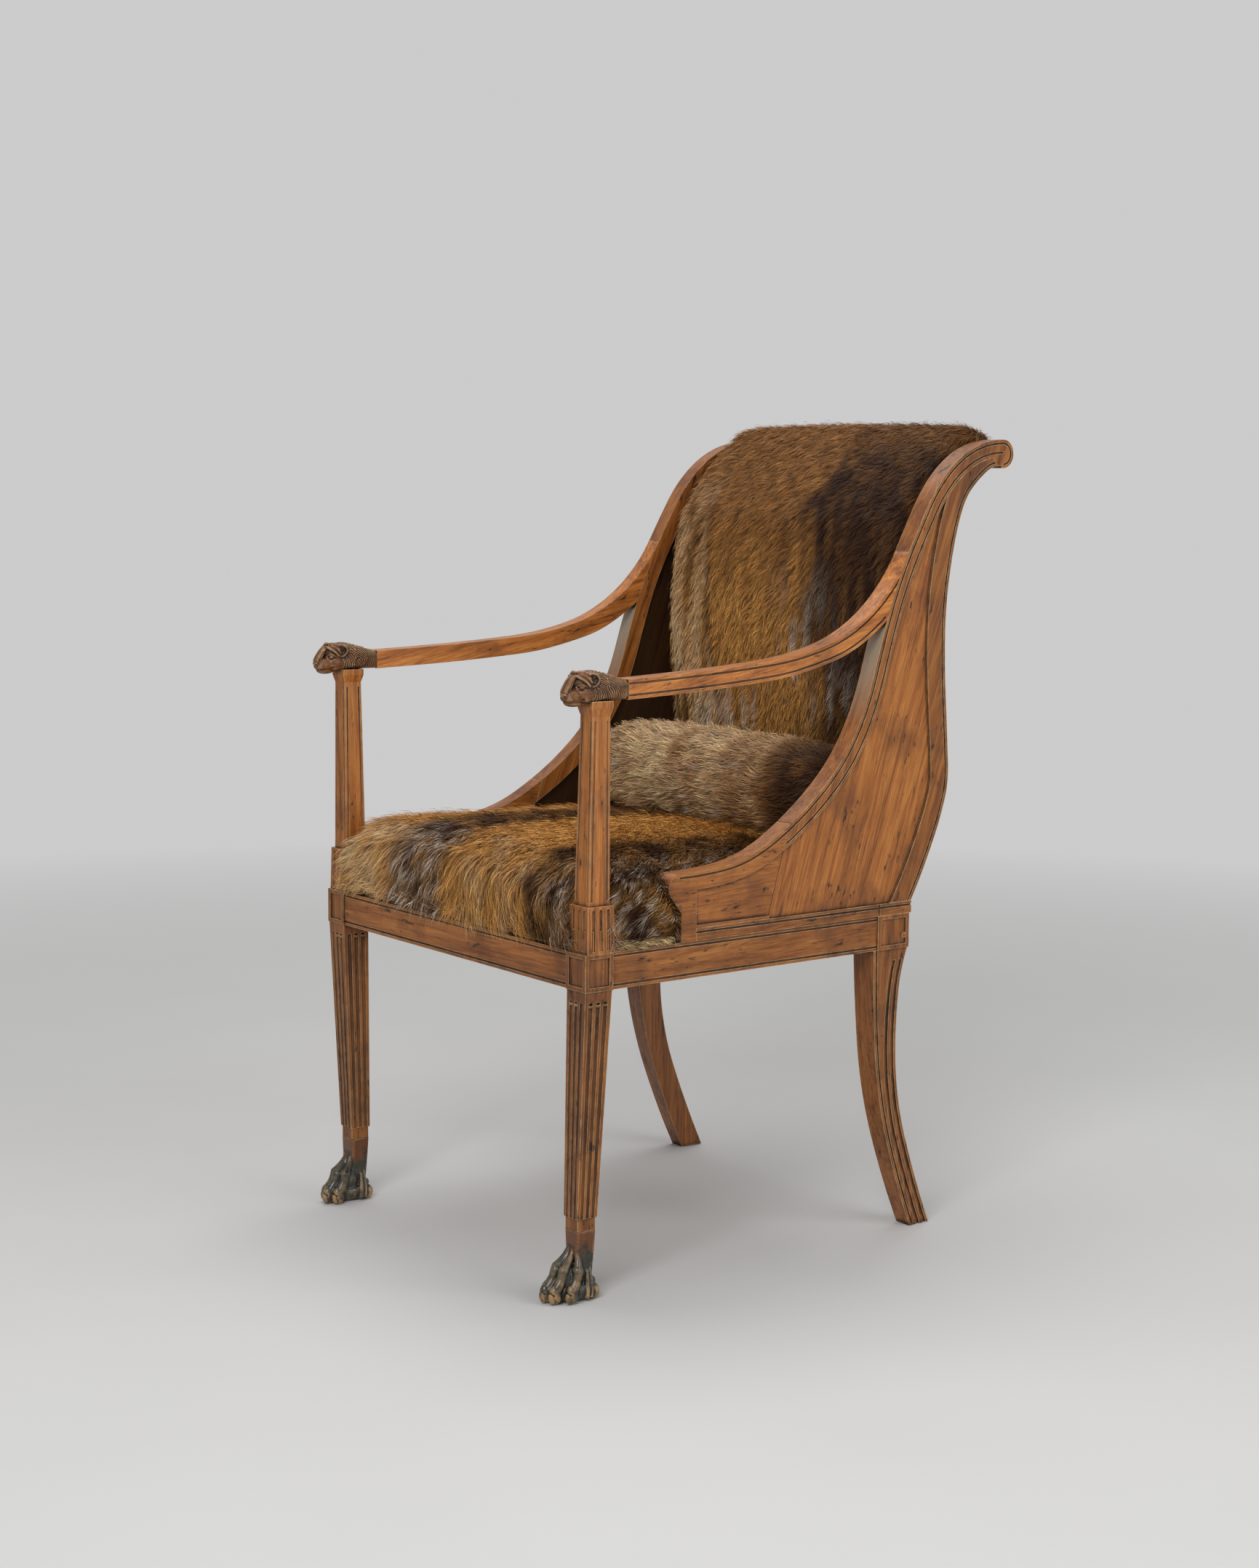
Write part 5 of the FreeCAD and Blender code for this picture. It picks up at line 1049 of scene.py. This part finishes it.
class FAUTEUIL_OT_cushion_fur(bpy.types.Operator):
    """Cover the loose cushion with pale fur that runs across it."""
    bl_idname = "fauteuil.cushion_fur"
    bl_label = "Cushion fur"

    def execute(self, context):
        def flow(root, normal):
            rise = (root[:, 2] - CUSHION_LEVEL) / 0.05
            far = step(root[:, 0], 0.05, -0.15)
            return headings(-1.0, -0.15, rise * (0.6 * far - 0.2) + 0.2 * cloud(root, 0.12, 13))

        def weight(middle, facing):
            return np.ones(len(middle))

        count = context.scene.fauteuil_fur.cushion_hairs
        furred("cushion", "lumbar_cushion", "fur_pale", "cushion", cushion_pelt, flow, weight, count, 2,
               0.9, shape=plump)
        return {"FINISHED"}


# Frame and cloth


class FAUTEUIL_OT_frame_wood(bpy.types.Operator):
    """Give each solid of the frame its wood, with the grain along the piece and a brightness per piece that
    paints light and shade.
    """
    bl_idname = "fauteuil.frame_wood"
    bl_label = "Frame wood"

    def execute(self, context):
        up, back, across = (0, 0, 1), (0, 1, 0.03), (1, 0, 0.02)
        # The third number scales each piece's colours: legs and rear stiles darker as painted shade, posts
        # and arms lighter as painted light, on top of their tone; the arms are paler where rubbed too.
        post = walnut("walnut_post", up, 1.12)
        leg = walnut("walnut_leg", up, 0.76)
        stile = walnut("walnut_front_stile", (0, 0.34, 0.94), 0.88, bleached=True)
        rear = walnut("walnut_rear_stile", (0, 0.34, 0.94), 0.74)
        level = walnut("walnut_level", back, 0.82)
        nose = walnut("walnut_nose_board", back, 1.0, 0.5)
        arm = walnut("walnut_arm", (0, 0.97, 0.22), 1.42, 0.6, pale_edges_below=0.72)
        front = walnut("walnut_front", across)
        panel = walnut("walnut_panel", (0, 0.30, 0.95), 1.1, 0, dark_inside=True)
        timber = raw_timber("beech_raw", (1, 0, 0))
        finishes = {
            "front_leg": leg, "arm_post": post, "rear_leg": leg, "front_stile": stile, "rear_stile": rear,
            "side_panel": panel, "nose_board": nose, "side_shoe": level, "arm": arm, "seat_rail": level,
            "seat_rail_front": front, "rear_block_pegs": post}
        hidden = ("seat_rail_back", "corner_blocks", "foot_dowels", "arm_dowels", "crest_rail",
                  "lower_back_rail")
        finishes.update(dict.fromkeys(hidden, timber))
        for name, finish in finishes.items():
            for node in (name, name + "_left", name + "_right"):
                if node in NODES:
                    set_finish(node, finish)
        return {"FINISHED"}


def set_finish(node, finish):
    """Show a solid in one material."""
    slots = NODES[node].data.materials
    slots.clear()
    slots.append(finish)


class FAUTEUIL_OT_back_cloth(bpy.types.Operator):
    """Give the webbing, the base cloths and the outside back their weaves."""
    bl_idname = "fauteuil.back_cloth"
    bl_label = "Back cloth"

    def execute(self, context):
        jute = ((0.40, 0.27, 0.13), (0.12, 0.075, 0.035))
        seat_jute = woven("jute_seat", *jute, 420)
        back_jute = woven("jute_back", *jute, 420, up=(0, 0, 1))
        hessian = ((0.34, 0.24, 0.12), (0.10, 0.066, 0.032))
        seat_hessian = woven("hessian_seat", *hessian, 640)
        back_hessian = woven("hessian_back", *hessian, 640, up=(0, 0, 1))
        cover = woven("outside_back_linen", (0.105, 0.062, 0.036), (0.030, 0.018, 0.011), 900, up=(0, 0, 1))
        for node, finish in (("seat_webbing", seat_jute), ("back_webbing", back_jute),
                             ("seat_base_cloth", seat_hessian), ("back_base_cloth", back_hessian),
                             ("outside_back_cover", cover)):
            set_finish(node, finish)
        return {"FINISHED"}


# Stage


def lamp(name, power, size, place, target):
    """A square soft lamp that faces a target."""
    data = bpy.data.lights.new(name, "AREA")
    data.energy = power
    data.size = size
    made = bpy.data.objects.new(name, data)
    made.location = place
    made.rotation_mode = "QUATERNION"
    made.rotation_quaternion = (Vector(target) - Vector(place)).to_track_quat("-Z", "Y")
    bpy.context.scene.collection.objects.link(made)


CAMERA_PLACE = (2.4831, -1.8472, 0.8762)
CAMERA_YAW, CAMERA_DOWN, CAMERA_ROLL = 53.99, 6.70, 0.4886
FLOOR_RADIUS = 14.0


class FAUTEUIL_OT_stage(bpy.types.Operator):
    """Set the pale floor, the soft lamps and the camera."""
    bl_idname = "fauteuil.stage"
    bl_label = "Stage"

    def execute(self, context):
        scene = context.scene
        stage = scene.fauteuil_stage
        angle = np.linspace(0, 2 * np.pi, 96, endpoint=False)
        disc = np.stack([FLOOR_RADIUS * np.cos(angle), FLOOR_RADIUS * np.sin(angle), np.zeros(96)], -1)
        mesh = bpy.data.meshes.new("floor")
        mesh.from_pydata(disc.tolist(), [], [list(range(96))])
        floor = bpy.data.objects.new("floor", mesh)
        scene.collection.objects.link(floor)
        finish = Finish("floor_paper")
        tone = finish.noise(finish.coords(), 2.2, 3)
        colour = finish.ramp(tone, ((0.3, [0.97 * part for part in stage.floor]), (0.7, list(stage.floor))))
        mesh.materials.append(finish.done(Base_Color=colour, Roughness=0.85, Specular_IOR_Level=0.2))
        self.fade(finish, stage)
        lamp("key_lamp", stage.key, 1.6, (1.9, -2.4, 2.3), (0, 0, 0.5))
        lamp("fill_lamp", stage.fill, 2.2, (2.7, 0.9, 1.5), (0, 0, 0.45))
        lamp("top_lamp", stage.top, 2.0, (-0.6, 0.3, 2.9), (0, 0, 0.5))
        self.surround(scene, stage)
        camera = bpy.data.cameras.new("camera")
        camera.lens = stage.lens
        made = bpy.data.objects.new("camera", camera)
        turn = (Matrix.Rotation(math.radians(CAMERA_YAW), 4, "Z")
                @ Matrix.Rotation(math.radians(90 - CAMERA_DOWN), 4, "X")
                @ Matrix.Rotation(math.radians(CAMERA_ROLL), 4, "Z"))
        made.matrix_world = Matrix.Translation(CAMERA_PLACE) @ turn
        scene.collection.objects.link(made)
        scene.camera = made
        scene.view_settings.view_transform = "Standard"
        return {"FINISHED"}

    def fade(self, finish, stage):
        """Let the far floor show the tone of the surroundings to the camera."""
        reach = finish.add("VectorMath", {0: finish.coords()}, operation="LENGTH").outputs["Value"]
        far = finish.span(reach, 0.9, 3.2)
        seen = finish.times(far, finish.add("LightPath", {}).outputs["Is Camera Ray"])
        tone = finish.add("Emission", {"Color": (*stage.backdrop, 1)}).outputs[0]
        finish.end("Material Output", seen, finish.surface.outputs[0], tone)

    def surround(self, scene, stage):
        """Pale surroundings: a soft grey light, and the floor's own tone where the camera sees them."""
        world = bpy.data.worlds.new("studio")
        world.use_nodes = True
        nodes = Nodes(world.node_tree)
        light = nodes.tree.nodes["Background"]
        light.inputs["Color"].default_value = (1.0, 0.98, 0.95, 1)
        light.inputs["Strength"].default_value = 0.22
        seen = nodes.add("Background", {"Color": (*stage.backdrop, 1)}).outputs[0]
        rays = nodes.add("LightPath", {}).outputs
        share = rays["Is Camera Ray"]
        for kind in ("Is Glossy Ray", "Is Transmission Ray"):
            share = nodes.math("MAXIMUM", share, rays[kind])
        nodes.end("World Output", share, light.outputs[0], seen)
        scene.world = world


class FAUTEUIL_PT_panel(bpy.types.Panel):
    """Lists the pieces of the chair and their settings."""
    bl_idname = "FAUTEUIL_PT_panel"
    bl_label = "Fauteuil"
    bl_space_type = "VIEW_3D"
    bl_region_type = "UI"
    bl_category = "Fauteuil"

    def draw(self, context):
        for operator in OPERATORS:
            self.layout.operator(operator.bl_idname)
        for name, settings in SETTINGS:
            box = self.layout.box()
            for field in settings.__annotations__:
                box.prop(getattr(context.scene, name), field)


SETTINGS = (("fauteuil_wood", WoodSettings), ("fauteuil_carving", CarvingSettings),
            ("fauteuil_fur", FurSettings), ("fauteuil_stage", StageSettings))
OPERATORS = (FAUTEUIL_OT_stage, FAUTEUIL_OT_frame_wood, FAUTEUIL_OT_back_cloth, FAUTEUIL_OT_lion_heads,
             FAUTEUIL_OT_paw_feet, FAUTEUIL_OT_seat_fur, FAUTEUIL_OT_stuffing, FAUTEUIL_OT_back_fur,
             FAUTEUIL_OT_cushion_fur)


def register():
    for name, settings in SETTINGS:
        bpy.utils.register_class(settings)
        setattr(bpy.types.Scene, name, PointerProperty(type=settings))
    for operator in OPERATORS:
        bpy.utils.register_class(operator)
    bpy.utils.register_class(FAUTEUIL_PT_panel)


def unregister():
    bpy.utils.unregister_class(FAUTEUIL_PT_panel)
    for operator in reversed(OPERATORS):
        bpy.utils.unregister_class(operator)
    for name, settings in reversed(SETTINGS):
        delattr(bpy.types.Scene, name)
        bpy.utils.unregister_class(settings)


def main():
    register()
    for operator in OPERATORS:
        group, name = operator.bl_idname.split(".")
        getattr(getattr(bpy.ops, group), name)()


if __name__ == "__main__":
    main()
